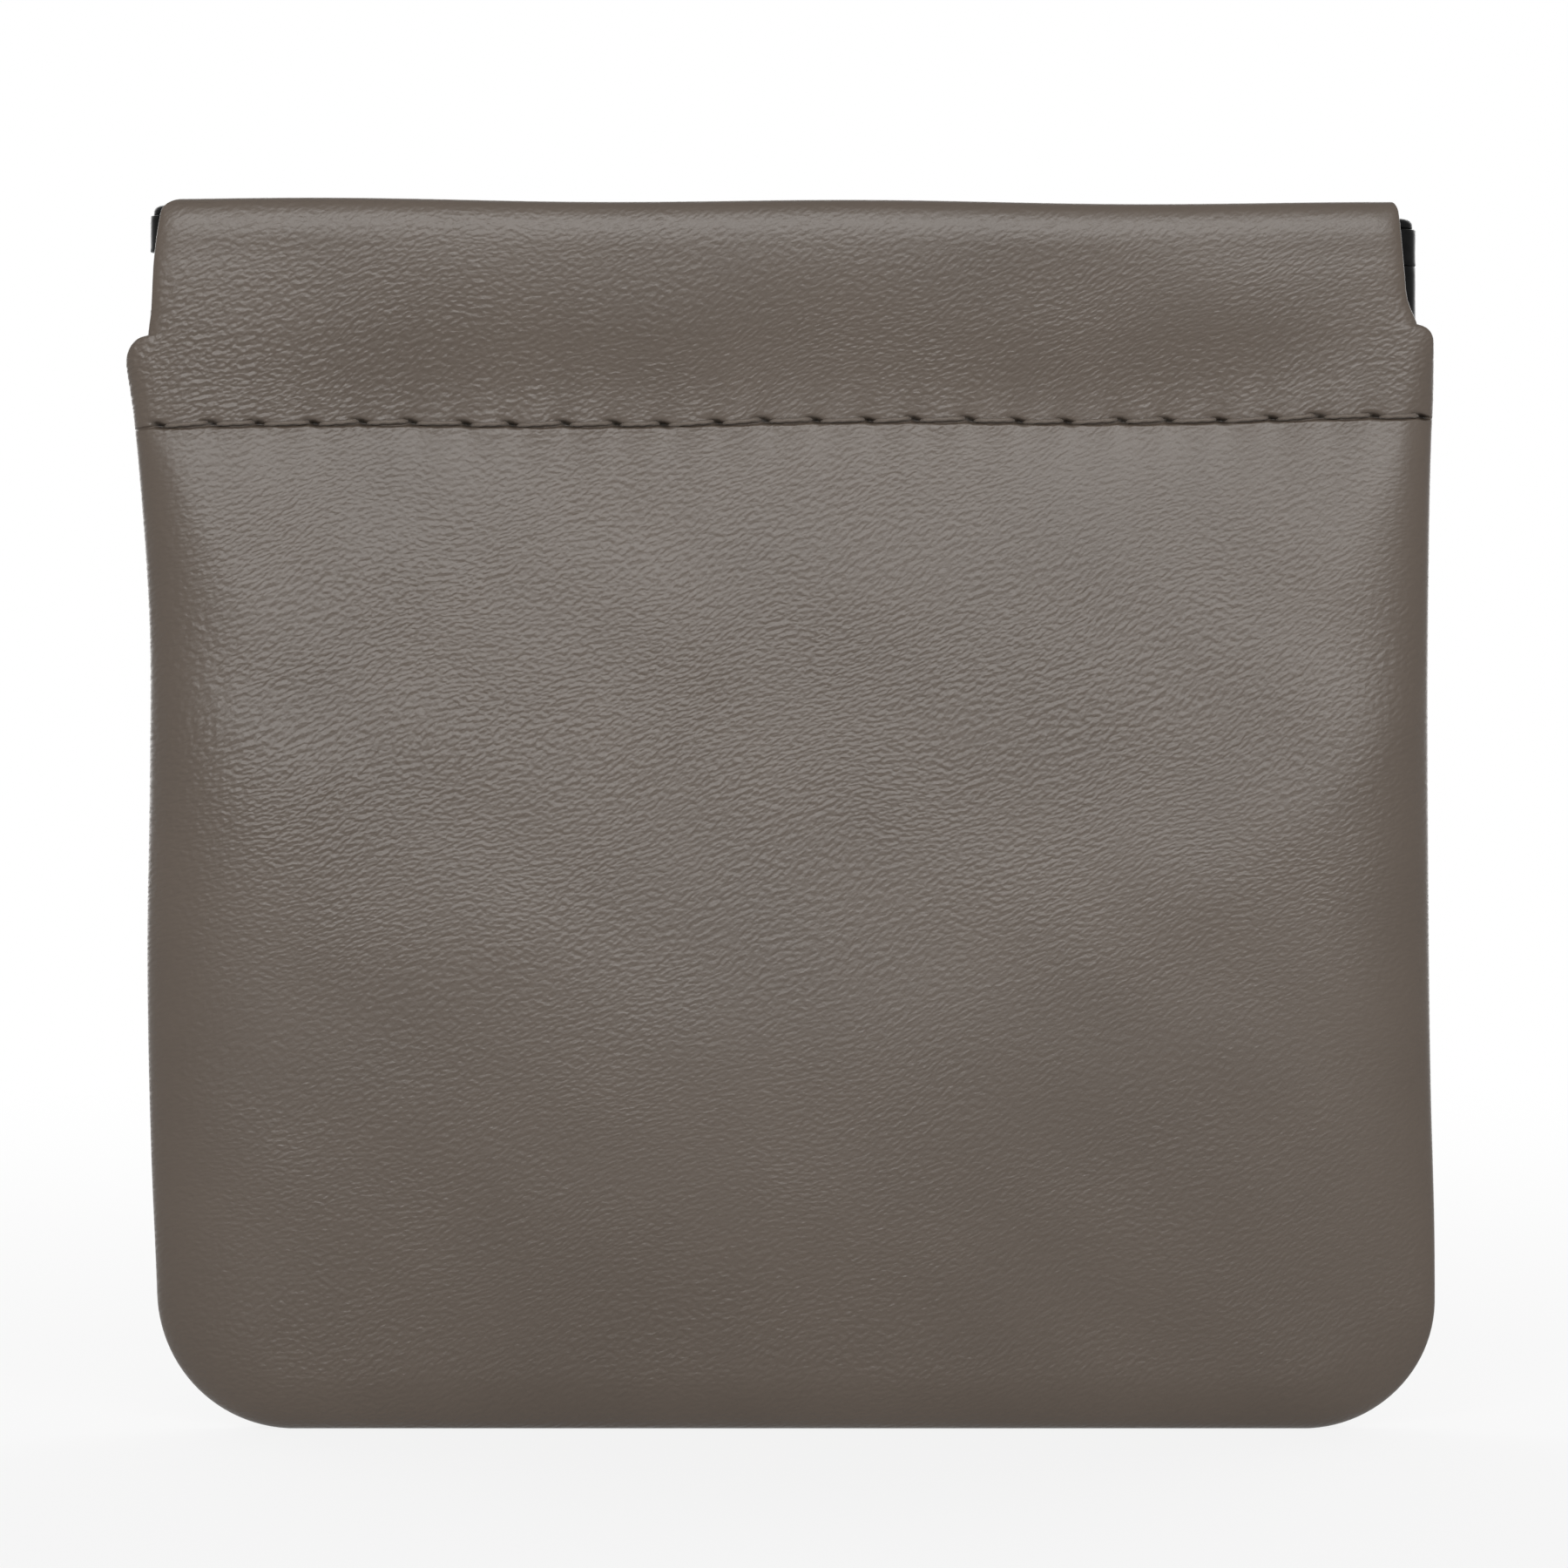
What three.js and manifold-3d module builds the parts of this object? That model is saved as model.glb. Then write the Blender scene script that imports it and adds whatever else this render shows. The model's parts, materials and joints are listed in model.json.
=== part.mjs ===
// Self-closing squeeze-top pouch of leatherette, hemmed over a hinged pair of spring strips.
// Millimetres, +Z up. The front wall faces -Y, the mouth is up and closed, the bottom edge stands on Z = 0.
import * as THREE from 'three';
import { mergeVertices } from 'three/addons/utils/BufferGeometryUtils.js';
import Module from 'manifold-3d';

// Silhouette seen from the front; the offsets are for each side
const POUCH_HEIGHT = 94.6;
const BODY_WIDTH = 98.6;
const SHOULDER_FLARE = 1;
const CASING_SETBACK = 1.3;
const CORNER_RADIUS = 10;
const SHOULDER_RADIUS = 2;
const TOP_CORNER_RADIUS = 2.2;
const HINGE_SLOT_DEPTH = 10.4;

// Leatherette layers and the swell of each wall
const LEATHER = 0.9;
const HEM_FLAP = 0.5;
const SEAM_PLY = 0.8;
const SEAM_ALLOWANCE = 3.5;
const BELLY_DEPTH = 4.4;
const BELLY_FULLNESS = 2.6;
const EDGE_ROUNDING = 1;

// Hem: the row of stitches below the casing
const HEM_SLACK = 5;
const HEM_LAND_BELOW = 1;
const HEM_LAND_ABOVE = 1.5;
const STITCH_PITCH = 3.9;
const THREAD_RADIUS = 0.28;
const STITCH_WAVE = 0.12;

// Spring strips, rolled knuckles and headed pins
const STRIP_WIDTH = 10;
const STRIP_THICKNESS = 0.5;
const STRIP_CAMBER = 0.4;
const CAMBER_RUNOUT = 8;
const STRIP_TOP_DROP = 2.1;
const PIN_INSET = 0.65;
const PIN_RADIUS = 0.6;
const PIN_CLEARANCE = 0.4;
const PIN_HEAD_LIP = 0.15;
const PIN_HEAD_HEIGHT = 0.6;
const TOP_KNUCKLE = 2.8;
const MIDDLE_KNUCKLE = 4.2;

// Fold lines along which the walls flex, and the widest opening of one wall in degrees
const SEAM_AXIS_HEIGHT = 2.5;
const FOLD_TOP_WIDTH = 26;
const OPENING_ANGLE = 10;
const ANGLE_MARGIN = 3;
const FLANK_TIP_RISE = 2.5;

// Clearances
const FIT = 0.3;
const HINGE_CLEARANCE = 0.5;
const FLAP_SETBACK = 0.9;

// Frame: strip and knuckle places that the casing is sewn round
const PIN_X = BODY_WIDTH / 2 - CASING_SETBACK - PIN_INSET;
const BORE_RADIUS = PIN_RADIUS + PIN_CLEARANCE;
const KNUCKLE_RADIUS = BORE_RADIUS + STRIP_THICKNESS;
const PIN_HEAD_RADIUS = BORE_RADIUS + PIN_HEAD_LIP;
const STRIP_TOP = POUCH_HEIGHT - STRIP_TOP_DROP;
const STRIP_BOTTOM = STRIP_TOP - STRIP_WIDTH;
const HINGE_FLOOR = STRIP_BOTTOM - PIN_HEAD_HEIGHT - 2 * FIT;

// Depths of the wall faces, measured from the middle plane between front and back
const MID = BORE_RADIUS - FIT - HEM_FLAP;
const EDGE_DEPTH = LEATHER + SEAM_PLY;
const PINCH_DEPTH = MID + HEM_FLAP + LEATHER + FIT;
const CASING_DEPTH = KNUCKLE_RADIUS + STRIP_CAMBER + FIT + LEATHER;
const FOLD_RADIUS = (CASING_DEPTH - MID) / 2;

// Heights and half widths that follow
const STITCH_Z = STRIP_BOTTOM - HEM_SLACK;
const SHOULDER_Z = POUCH_HEIGHT - HINGE_SLOT_DEPTH;
const SHOULDER_X = BODY_WIDTH / 2 + SHOULDER_FLARE;
const CASING_X = BODY_WIDTH / 2 - CASING_SETBACK;
const FLAP_END = PIN_X - KNUCKLE_RADIUS - FLAP_SETBACK;
const FOLD_SLOPE = (PIN_X - FOLD_TOP_WIDTH / 2) / (POUCH_HEIGHT - SEAM_AXIS_HEIGHT);
const GROOVE_RADIUS = THREAD_RADIUS + STITCH_WAVE + FIT;
const REACH = 2 * SHOULDER_X;

const wasm = await Module();
wasm.setup();
const { Manifold, Mesh } = wasm;

// Solids for cutting and joining

function solid(geometry) {
  const bare = new THREE.BufferGeometry();
  bare.setAttribute('position', geometry.getAttribute('position'));
  bare.setIndex(geometry.index);
  const merged = mergeVertices(bare, 1e-4);
  const vertProperties = new Float32Array(merged.getAttribute('position').array);
  const triVerts = new Uint32Array(merged.index.array);
  return new Manifold(new Mesh({ numProp: 3, vertProperties, triVerts }));
}

function geometryOf(body) {
  const mesh = body.getMesh();
  const geometry = new THREE.BufferGeometry();
  geometry.setAttribute('position', new THREE.BufferAttribute(new Float32Array(mesh.vertProperties), 3));
  geometry.setIndex(new THREE.BufferAttribute(new Uint32Array(mesh.triVerts), 1));
  geometry.computeVertexNormals();
  return geometry;
}

function boxBetween(low, high) {
  const size = new THREE.Vector3().subVectors(high, low);
  const box = new THREE.BoxGeometry(size.x, size.y, size.z);
  box.translate((low.x + high.x) / 2, (low.y + high.y) / 2, (low.z + high.z) / 2);
  return solid(box);
}

// A shape drawn in X and Z, given depth along Y from yLow to yHigh
function slab(shape, yLow, yHigh, options = {}) {
  const settings = { depth: yHigh - yLow, bevelEnabled: false, curveSegments: 5, ...options };
  const geometry = new THREE.ExtrudeGeometry(shape, settings);
  geometry.rotateX(Math.PI / 2);
  geometry.translate(0, yHigh, 0);
  return solid(geometry);
}

// A shape drawn in X and Y, standing from zLow to zHigh
function column(shape, zLow, zHigh) {
  const settings = { depth: zHigh - zLow, bevelEnabled: false, curveSegments: 12 };
  const geometry = new THREE.ExtrudeGeometry(shape, settings);
  geometry.translate(0, 0, zLow);
  return solid(geometry);
}

// A round bar between two points
function bar(from, to, radius) {
  const along = new THREE.Vector3().subVectors(to, from);
  const geometry = new THREE.CylinderGeometry(radius, radius, along.length(), 12);
  const turn = new THREE.Quaternion().setFromUnitVectors(new THREE.Vector3(0, 1, 0), along.clone().normalize());
  geometry.applyQuaternion(turn);
  geometry.translate((from.x + to.x) / 2, (from.y + to.y) / 2, (from.z + to.z) / 2);
  return solid(geometry);
}

// A skin through closed rings of Y-Z points, one ring at each station along X, from low X to high X
function loft(stations, ringAt) {
  const clockwise = THREE.ShapeUtils.isClockWise(ringAt(stations[0]));
  const rings = stations.map((x) => (clockwise ? ringAt(x).reverse() : ringAt(x)));
  const count = rings[0].length;
  const positions = [];
  rings.forEach((ring, i) => ring.forEach((p) => positions.push(stations[i], p.x, p.y)));
  const faces = [];
  for (let i = 0; i + 1 < rings.length; i += 1) {
    for (let j = 0; j < count; j += 1) {
      const next = (j + 1) % count;
      const here = i * count;
      const there = here + count;
      faces.push(here + j, here + next, there + next);
      faces.push(here + j, there + next, there + j);
    }
  }
  const last = (rings.length - 1) * count;
  THREE.ShapeUtils.triangulateShape(rings[0], []).forEach(([a, b, c]) => faces.push(a, c, b));
  THREE.ShapeUtils.triangulateShape(rings[rings.length - 1], []).forEach(([a, b, c]) => {
    faces.push(last + a, last + b, last + c);
  });
  const geometry = new THREE.BufferGeometry();
  geometry.setAttribute('position', new THREE.Float32BufferAttribute(positions, 3));
  geometry.setIndex(faces);
  return geometry;
}

// Wall form

// Depth of the outer face below the stitches, at the middle of the wall
function bodyDepth(z) {
  const v = THREE.MathUtils.clamp((z - SEAM_AXIS_HEIGHT) / (STITCH_Z - SEAM_AXIS_HEIGHT), 0, 1);
  const ends = THREE.MathUtils.lerp(EDGE_DEPTH, PINCH_DEPTH, v);
  const swell = BELLY_DEPTH - (EDGE_DEPTH + PINCH_DEPTH) / 2;
  return ends + swell * (4 * v * (1 - v)) ** 0.6;
}

// The swell dies away toward the side seams
function wallDepth(x, z) {
  if (z >= STITCH_Z) {
    const rise = THREE.MathUtils.clamp((z - STITCH_Z) / HEM_SLACK, 0, 1);
    return PINCH_DEPTH + (CASING_DEPTH - PINCH_DEPTH) * Math.sin((rise * Math.PI) / 2);
  }
  const v = THREE.MathUtils.clamp((z - SEAM_AXIS_HEIGHT) / (STITCH_Z - SEAM_AXIS_HEIGHT), 0, 1);
  const edge = THREE.MathUtils.lerp(EDGE_DEPTH, PINCH_DEPTH, v);
  const u = Math.min(1, Math.abs(x) / (BODY_WIDTH / 2));
  return edge + (bodyDepth(z) - edge) * (1 - u ** BELLY_FULLNESS);
}

function steps(low, high, count) {
  return Array.from({ length: count + 1 }, (_, i) => low + ((high - low) * i) / count);
}

// Stations across the wall, closer together toward the side seams
function stationsAcross(half, count) {
  return steps(-1, 1, count).map((t) => half * Math.sin((t * Math.PI) / 2));
}

// One closed wall section: up the outer face, over the fold and down the mouth side
function wallRing(x) {
  const ring = [];
  const foldZ = POUCH_HEIGHT - FOLD_RADIUS;
  steps(SEAM_AXIS_HEIGHT, STITCH_Z, 12).forEach((z) => ring.push(new THREE.Vector2(-wallDepth(x, z), z)));
  steps(STITCH_Z, foldZ, 7).slice(1).forEach((z) => ring.push(new THREE.Vector2(-wallDepth(x, z), z)));
  steps(0, Math.PI, 8).slice(1).forEach((a) => {
    const y = -MID - FOLD_RADIUS - FOLD_RADIUS * Math.cos(a);
    ring.push(new THREE.Vector2(y, foldZ + FOLD_RADIUS * Math.sin(a)));
  });
  ring.push(new THREE.Vector2(-MID, SEAM_AXIS_HEIGHT));
  return ring;
}

// The room inside one wall, from the bottom seam up to the hem
function cavityRing(x) {
  const low = SEAM_AXIS_HEIGHT + SEAM_ALLOWANCE;
  const high = STITCH_Z - HEM_LAND_BELOW;
  const ring = steps(low, high, 10).map((z) => new THREE.Vector2(LEATHER - wallDepth(x, z), z));
  ring.push(new THREE.Vector2(LEATHER, high));
  ring.push(new THREE.Vector2(LEATHER, low));
  return ring;
}

// The tunnel between hem flap and outer leather, open at both ends
function casingRing(x) {
  const low = STITCH_Z + HEM_LAND_ABOVE;
  const high = POUCH_HEIGHT - FOLD_RADIUS;
  const ring = steps(low, high, 6).map((z) => new THREE.Vector2(LEATHER - wallDepth(x, z), z));
  const crown = POUCH_HEIGHT - LEATHER;
  ring.push(new THREE.Vector2(-(MID + HEM_FLAP + CASING_DEPTH - LEATHER) / 2, crown));
  ring.push(new THREE.Vector2(-MID - HEM_FLAP, high));
  ring.push(new THREE.Vector2(-MID - HEM_FLAP, low));
  return ring;
}

// Half width at the stitches, on the side seams' slight flare from the corners up to the shoulders
const STITCH_X = THREE.MathUtils.mapLinear(STITCH_Z, CORNER_RADIUS, SHOULDER_Z, BODY_WIDTH / 2, SHOULDER_X);

// Lower outline with rounded bottom corners, up to the height where the hem begins
function bodyOutline(inset, top) {
  const low = BODY_WIDTH / 2 - inset;
  const high = STITCH_X - inset;
  const radius = CORNER_RADIUS - inset;
  const shape = new THREE.Shape();
  shape.moveTo(-low + radius, inset);
  shape.lineTo(low - radius, inset);
  shape.absarc(low - radius, CORNER_RADIUS, radius, -Math.PI / 2, 0, false);
  shape.lineTo(high, top);
  shape.lineTo(-high, top);
  shape.lineTo(-low, CORNER_RADIUS);
  shape.absarc(-low + radius, CORNER_RADIUS, radius, Math.PI, Math.PI * 1.5, false);
  return shape;
}

// Upper outline: shoulders at the ends of the side seams, then the narrower casing
function hemOutline() {
  const top = POUCH_HEIGHT - TOP_CORNER_RADIUS;
  const slotFoot = SHOULDER_Z + SHOULDER_RADIUS / 4;
  const shape = new THREE.Shape();
  shape.moveTo(-STITCH_X, STITCH_Z);
  shape.lineTo(STITCH_X, STITCH_Z);
  shape.lineTo(SHOULDER_X, SHOULDER_Z - SHOULDER_RADIUS);
  shape.quadraticCurveTo(SHOULDER_X, SHOULDER_Z, CASING_X, slotFoot);
  shape.lineTo(CASING_X, top);
  shape.absarc(CASING_X - TOP_CORNER_RADIUS, top, TOP_CORNER_RADIUS, 0, Math.PI / 2, false);
  shape.absarc(-CASING_X + TOP_CORNER_RADIUS, top, TOP_CORNER_RADIUS, Math.PI / 2, Math.PI, false);
  shape.lineTo(-CASING_X, slotFoot);
  shape.quadraticCurveTo(-SHOULDER_X, SHOULDER_Z, -SHOULDER_X, SHOULDER_Z - SHOULDER_RADIUS);
  return shape;
}

// Front silhouette with turned, rounded edges below the hem and cut edges at the casing ends
function silhouette() {
  const rounding = {
    bevelEnabled: true,
    bevelThickness: EDGE_DEPTH - MID,
    bevelSize: EDGE_ROUNDING,
    bevelOffset: -EDGE_ROUNDING,
    bevelSegments: 4,
  };
  const roundedTop = STITCH_Z + EDGE_ROUNDING;
  const rounded = slab(bodyOutline(0, roundedTop), -MID, MID, rounding);
  const core = slab(bodyOutline(EDGE_ROUNDING, roundedTop), -2 * BELLY_DEPTH, 0);
  const hem = slab(hemOutline(), -2 * BELLY_DEPTH, 0);
  return rounded.add(core).add(hem);
}

// How far a flank yaws about its side seam when the mouth is fully open
function seamYaw() {
  const opening = THREE.MathUtils.degToRad(OPENING_ANGLE);
  const margin = THREE.MathUtils.degToRad(ANGLE_MARGIN);
  return Math.asin(Math.min(1, Math.sin(opening) / FOLD_SLOPE)) + margin;
}

// Room for the barrels at one end of the casing, and a rim that clears the other wall when it yaws
function hingeRoom() {
  const depth = KNUCKLE_RADIUS + HINGE_CLEARANCE;
  const rim = new THREE.Shape();
  rim.moveTo(PIN_X, 0);
  rim.lineTo(REACH, (PIN_X - REACH) * Math.tan(seamYaw()));
  rim.lineTo(REACH, depth);
  rim.lineTo(PIN_X, depth);
  const barrels = boxBetween(
    new THREE.Vector3(FLAP_END, -depth, HINGE_FLOOR),
    new THREE.Vector3(REACH, depth, 2 * POUCH_HEIGHT),
  );
  const groove = bar(
    new THREE.Vector3(PIN_X, 0, 0),
    new THREE.Vector3(PIN_X, 0, HINGE_FLOOR + FIT),
    GROOVE_RADIUS,
  );
  return barrels.add(column(rim, 0, 2 * POUCH_HEIGHT)).add(groove);
}

// The same solid mirrored left to right
function mirroredAcross(body) {
  const geometry = geometryOf(body);
  geometry.scale(-1, 1, 1);
  const index = geometry.index;
  for (let i = 0; i < index.count; i += 3) {
    const swap = index.getX(i + 1);
    index.setX(i + 1, index.getX(i + 2));
    index.setX(i + 2, swap);
  }
  return solid(geometry);
}

// Room under the wall for it to swing out over the bottom seam
function swingRoom() {
  const wedge = new THREE.BoxGeometry(4 * REACH, 4 * BELLY_DEPTH, 4 * BELLY_DEPTH);
  wedge.translate(0, -2 * BELLY_DEPTH, -2 * BELLY_DEPTH);
  wedge.rotateX(THREE.MathUtils.degToRad(-OPENING_ANGLE - ANGLE_MARGIN));
  wedge.translate(0, 0, SEAM_AXIS_HEIGHT + FIT / 2);
  return solid(wedge);
}

function bottomGroove() {
  const z = SEAM_AXIS_HEIGHT;
  return bar(new THREE.Vector3(-REACH, 0, z), new THREE.Vector3(REACH, 0, z), GROOVE_RADIUS);
}

function frontWall() {
  const skin = solid(loft(stationsAcross(SHOULDER_X + FIT, 16), wallRing));
  const cavityHalf = BODY_WIDTH / 2 - SEAM_ALLOWANCE;
  const cavity = solid(loft(stationsAcross(cavityHalf, 14), cavityRing));
  const cavityOutline = slab(bodyOutline(SEAM_ALLOWANCE, POUCH_HEIGHT), -2 * BELLY_DEPTH, 2 * LEATHER);
  const casingHalf = FLAP_END + FIT;
  const casing = solid(loft([-casingHalf, casingHalf], casingRing));
  const room = hingeRoom();
  return skin
    .intersect(silhouette())
    .subtract(cavity.intersect(cavityOutline))
    .subtract(casing)
    .subtract(room)
    .subtract(mirroredAcross(room))
    .subtract(swingRoom())
    .subtract(bottomGroove());
}

// Fold lines run from the lower corners up to the casing and part a wall into middle and flanks
function foldX(z) {
  return PIN_X - FOLD_SLOPE * (z - SEAM_AXIS_HEIGHT);
}

function facet(name) {
  const low = SEAM_AXIS_HEIGHT;
  const high = POUCH_HEIGHT + CORNER_RADIUS;
  const gap = (FIT / 2) * Math.hypot(1, FOLD_SLOPE);
  const shape = new THREE.Shape();
  if (name === 'center') {
    shape.moveTo(-foldX(low) + gap, low);
    shape.lineTo(foldX(low) - gap, low);
    shape.lineTo(foldX(high) - gap, high);
    shape.lineTo(-foldX(high) + gap, high);
  } else {
    const side = name === 'left' ? -1 : 1;
    const tip = low + FLANK_TIP_RISE;
    shape.moveTo(side * (foldX(tip) + gap), tip);
    shape.lineTo(side * REACH, tip);
    shape.lineTo(side * REACH, high);
    shape.lineTo(side * (foldX(high) + gap), high);
  }
  return slab(shape, -4 * BELLY_DEPTH, 4 * BELLY_DEPTH);
}

// Bottom seam: the turned edge that the pouch stands on, front and back in one
function bottomSeam() {
  const flat = EDGE_DEPTH - EDGE_ROUNDING / 2;
  const top = SEAM_AXIS_HEIGHT - FIT / 2;
  const section = new THREE.Shape();
  section.moveTo(-flat, 0);
  section.lineTo(flat, 0);
  section.quadraticCurveTo(EDGE_DEPTH, 0, EDGE_DEPTH, EDGE_ROUNDING);
  section.lineTo(EDGE_DEPTH, top);
  section.lineTo(-EDGE_DEPTH, top);
  section.lineTo(-EDGE_DEPTH, EDGE_ROUNDING);
  section.quadraticCurveTo(-EDGE_DEPTH, 0, -flat, 0);
  const geometry = new THREE.ExtrudeGeometry(section, { depth: 2 * REACH, bevelEnabled: false, curveSegments: 4 });
  geometry.translate(0, 0, -REACH);
  geometry.rotateX(Math.PI / 2);
  geometry.rotateZ(Math.PI / 2);
  const outline = slab(bodyOutline(0, POUCH_HEIGHT), -2 * EDGE_DEPTH, 2 * EDGE_DEPTH);
  return solid(geometry).intersect(outline).subtract(bottomGroove());
}

// Threads

// A sewn thread that rises and dips once per stitch, waving along the given direction
function thread(from, to, waveAlong) {
  const length = from.distanceTo(to);
  const stitches = Math.max(1, Math.round(length / STITCH_PITCH));
  const samples = stitches * 4;
  const points = steps(0, 1, samples).map((t) => {
    const wave = STITCH_WAVE * Math.cos(t * stitches * 2 * Math.PI);
    return new THREE.Vector3().lerpVectors(from, to, t).addScaledVector(waveAlong, wave);
  });
  const section = new THREE.Shape();
  section.absarc(0, 0, THREAD_RADIUS, 0, Math.PI * 2, false);
  const path = new THREE.CatmullRomCurve3(points);
  const settings = { steps: samples, extrudePath: path, bevelEnabled: false, curveSegments: 3 };
  return solid(new THREE.ExtrudeGeometry(section, settings));
}

function hemThread() {
  const y = -(PINCH_DEPTH + FIT + STITCH_WAVE + THREAD_RADIUS);
  const half = STITCH_X - EDGE_ROUNDING;
  return thread(
    new THREE.Vector3(-half, y, STITCH_Z),
    new THREE.Vector3(half, y, STITCH_Z),
    new THREE.Vector3(0, 1, 0),
  );
}

function sideSeamThread(side) {
  return thread(
    new THREE.Vector3(side * PIN_X, 0, CORNER_RADIUS),
    new THREE.Vector3(side * PIN_X, 0, HINGE_FLOOR),
    new THREE.Vector3(1, 0, 0),
  );
}

function bottomSeamThread() {
  const half = BODY_WIDTH / 2 - CORNER_RADIUS;
  return thread(
    new THREE.Vector3(-half, 0, SEAM_AXIS_HEIGHT),
    new THREE.Vector3(half, 0, SEAM_AXIS_HEIGHT),
    new THREE.Vector3(0, 0, 1),
  );
}

// Spring strips

// Strip section: bowed across its width like a tape spring, flat where it runs into the knuckles
function stripRing(x) {
  const toPin = THREE.MathUtils.clamp((PIN_X - Math.abs(x)) / CAMBER_RUNOUT, 0, 1);
  const camber = STRIP_CAMBER * THREE.MathUtils.smoothstep(toPin, 0.2, 1);
  const ring = [];
  const bow = (t) => camber * (1 - t * t);
  steps(-1, 1, 8).forEach((t) => {
    const z = STRIP_BOTTOM + ((t + 1) / 2) * STRIP_WIDTH;
    ring.push(new THREE.Vector2(-KNUCKLE_RADIUS - bow(t), z));
  });
  steps(1, -1, 8).forEach((t) => {
    const z = STRIP_BOTTOM + ((t + 1) / 2) * STRIP_WIDTH;
    ring.push(new THREE.Vector2(-BORE_RADIUS - bow(t), z));
  });
  return ring;
}

// A rolled knuckle: the strip end curls round the pin and stops just short of closing
function knuckle(side, zLow, zHigh) {
  const curlEnd = Math.PI * 0.875;
  const curl = new THREE.Shape();
  curl.absarc(0, 0, KNUCKLE_RADIUS, -Math.PI / 2, curlEnd, false);
  curl.absarc(0, 0, BORE_RADIUS, curlEnd, -Math.PI / 2, true);
  const geometry = geometryOf(column(curl, zLow, zHigh));
  geometry.translate(PIN_X, 0, 0);
  const right = solid(geometry);
  return side > 0 ? right : mirroredAcross(right);
}

// Knuckle heights: the front strip holds the upper and lower ones, the back strip the middle one
const KNUCKLE_TOP = { high: STRIP_TOP, low: STRIP_TOP - TOP_KNUCKLE };
const KNUCKLE_MIDDLE = { high: KNUCKLE_TOP.low - FIT, low: KNUCKLE_TOP.low - FIT - MIDDLE_KNUCKLE };
const KNUCKLE_BOTTOM = { high: KNUCKLE_MIDDLE.low - FIT, low: STRIP_BOTTOM };

function strip(own, other) {
  const half = PIN_X;
  const bands = [-half, ...stationsAcross(half - CAMBER_RUNOUT, 6), half];
  const runout = steps(half - CAMBER_RUNOUT, half, 4).slice(1, -1);
  const stations = [...runout.map((x) => -x), ...bands, ...runout].sort((a, b) => a - b);
  let body = solid(loft(stations, stripRing));
  const reach = KNUCKLE_RADIUS + HINGE_CLEARANCE;
  for (const side of [-1, 1]) {
    for (const band of own) {
      body = body.add(knuckle(side, band.low, band.high));
    }
    for (const band of other) {
      const inner = side * (PIN_X - reach);
      const outer = side * (PIN_X + reach);
      body = body.subtract(boxBetween(
        new THREE.Vector3(Math.min(inner, outer), -reach - STRIP_CAMBER, band.low - FIT),
        new THREE.Vector3(Math.max(inner, outer), reach, band.high + FIT),
      ));
    }
  }
  return body;
}

// Headed pin through all three knuckles
function hingePin(side) {
  const low = STRIP_BOTTOM - FIT;
  const high = STRIP_TOP + FIT;
  const crown = PIN_HEAD_RADIUS * 0.6;
  const profile = [
    new THREE.Vector2(0, low - PIN_HEAD_HEIGHT),
    new THREE.Vector2(crown, low - PIN_HEAD_HEIGHT),
    new THREE.Vector2(PIN_HEAD_RADIUS, low - PIN_HEAD_HEIGHT / 2),
    new THREE.Vector2(PIN_HEAD_RADIUS, low),
    new THREE.Vector2(PIN_RADIUS, low),
    new THREE.Vector2(PIN_RADIUS, high),
    new THREE.Vector2(PIN_HEAD_RADIUS, high),
    new THREE.Vector2(PIN_HEAD_RADIUS, high + PIN_HEAD_HEIGHT / 2),
    new THREE.Vector2(crown, high + PIN_HEAD_HEIGHT),
    new THREE.Vector2(0, high + PIN_HEAD_HEIGHT),
  ];
  const geometry = new THREE.LatheGeometry(profile, 16);
  geometry.rotateX(Math.PI / 2);
  geometry.translate(side * PIN_X, 0, 0);
  return geometry;
}

// Assembly

const leatherette = { color: 0x756b62, roughness: 0.55, metalness: 0 };
const sewingThread = { color: 0x6f665d, roughness: 0.85, metalness: 0 };
const springSteel = { color: 0x141416, roughness: 0.35, metalness: 0.9 };

function piece(name, geometry, finish) {
  const mesh = new THREE.Mesh(geometry, new THREE.MeshStandardMaterial(finish));
  mesh.name = name;
  return mesh;
}

const pouch = new THREE.Group();
const back = new THREE.Group();
back.rotation.z = Math.PI;
pouch.add(back);

// The back wall is the front wall turned about Z, so its left flank is the front's right one
const otherSide = { left: 'right', center: 'center', right: 'left' };
const wall = frontWall();
const hem = hemThread();
const frontStrip = strip([KNUCKLE_TOP, KNUCKLE_BOTTOM], [KNUCKLE_MIDDLE]);
const backStrip = strip([KNUCKLE_MIDDLE], [KNUCKLE_TOP, KNUCKLE_BOTTOM]);
for (const side of ['left', 'center', 'right']) {
  const cut = facet(side);
  const turned = otherSide[side];
  pouch.add(piece(`front_panel_${side}`, geometryOf(wall.intersect(cut)), leatherette));
  pouch.add(piece(`front_hem_thread_${side}`, geometryOf(hem.intersect(cut)), sewingThread));
  pouch.add(piece(`front_spring_${side}`, geometryOf(frontStrip.intersect(cut)), springSteel));
  back.add(piece(`back_panel_${turned}`, geometryOf(wall.intersect(cut)), leatherette));
  back.add(piece(`back_hem_thread_${turned}`, geometryOf(hem.intersect(cut)), sewingThread));
  back.add(piece(`back_spring_${turned}`, geometryOf(backStrip.intersect(cut)), springSteel));
}
pouch.add(piece('bottom_seam', geometryOf(bottomSeam()), leatherette));
pouch.add(piece('bottom_seam_thread', geometryOf(bottomSeamThread()), sewingThread));
for (const [name, side] of [['left', -1], ['right', 1]]) {
  pouch.add(piece(`${name}_seam_thread`, geometryOf(sideSeamThread(side)), sewingThread));
  pouch.add(piece(`${name}_hinge_pin`, hingePin(side), springSteel));
}

export default pouch;
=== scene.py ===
"""Squeeze-top cosmetic pouch: taupe leatherette walls with a hinged spring frame in the hem."""

import json
import math
from collections import namedtuple

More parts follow.
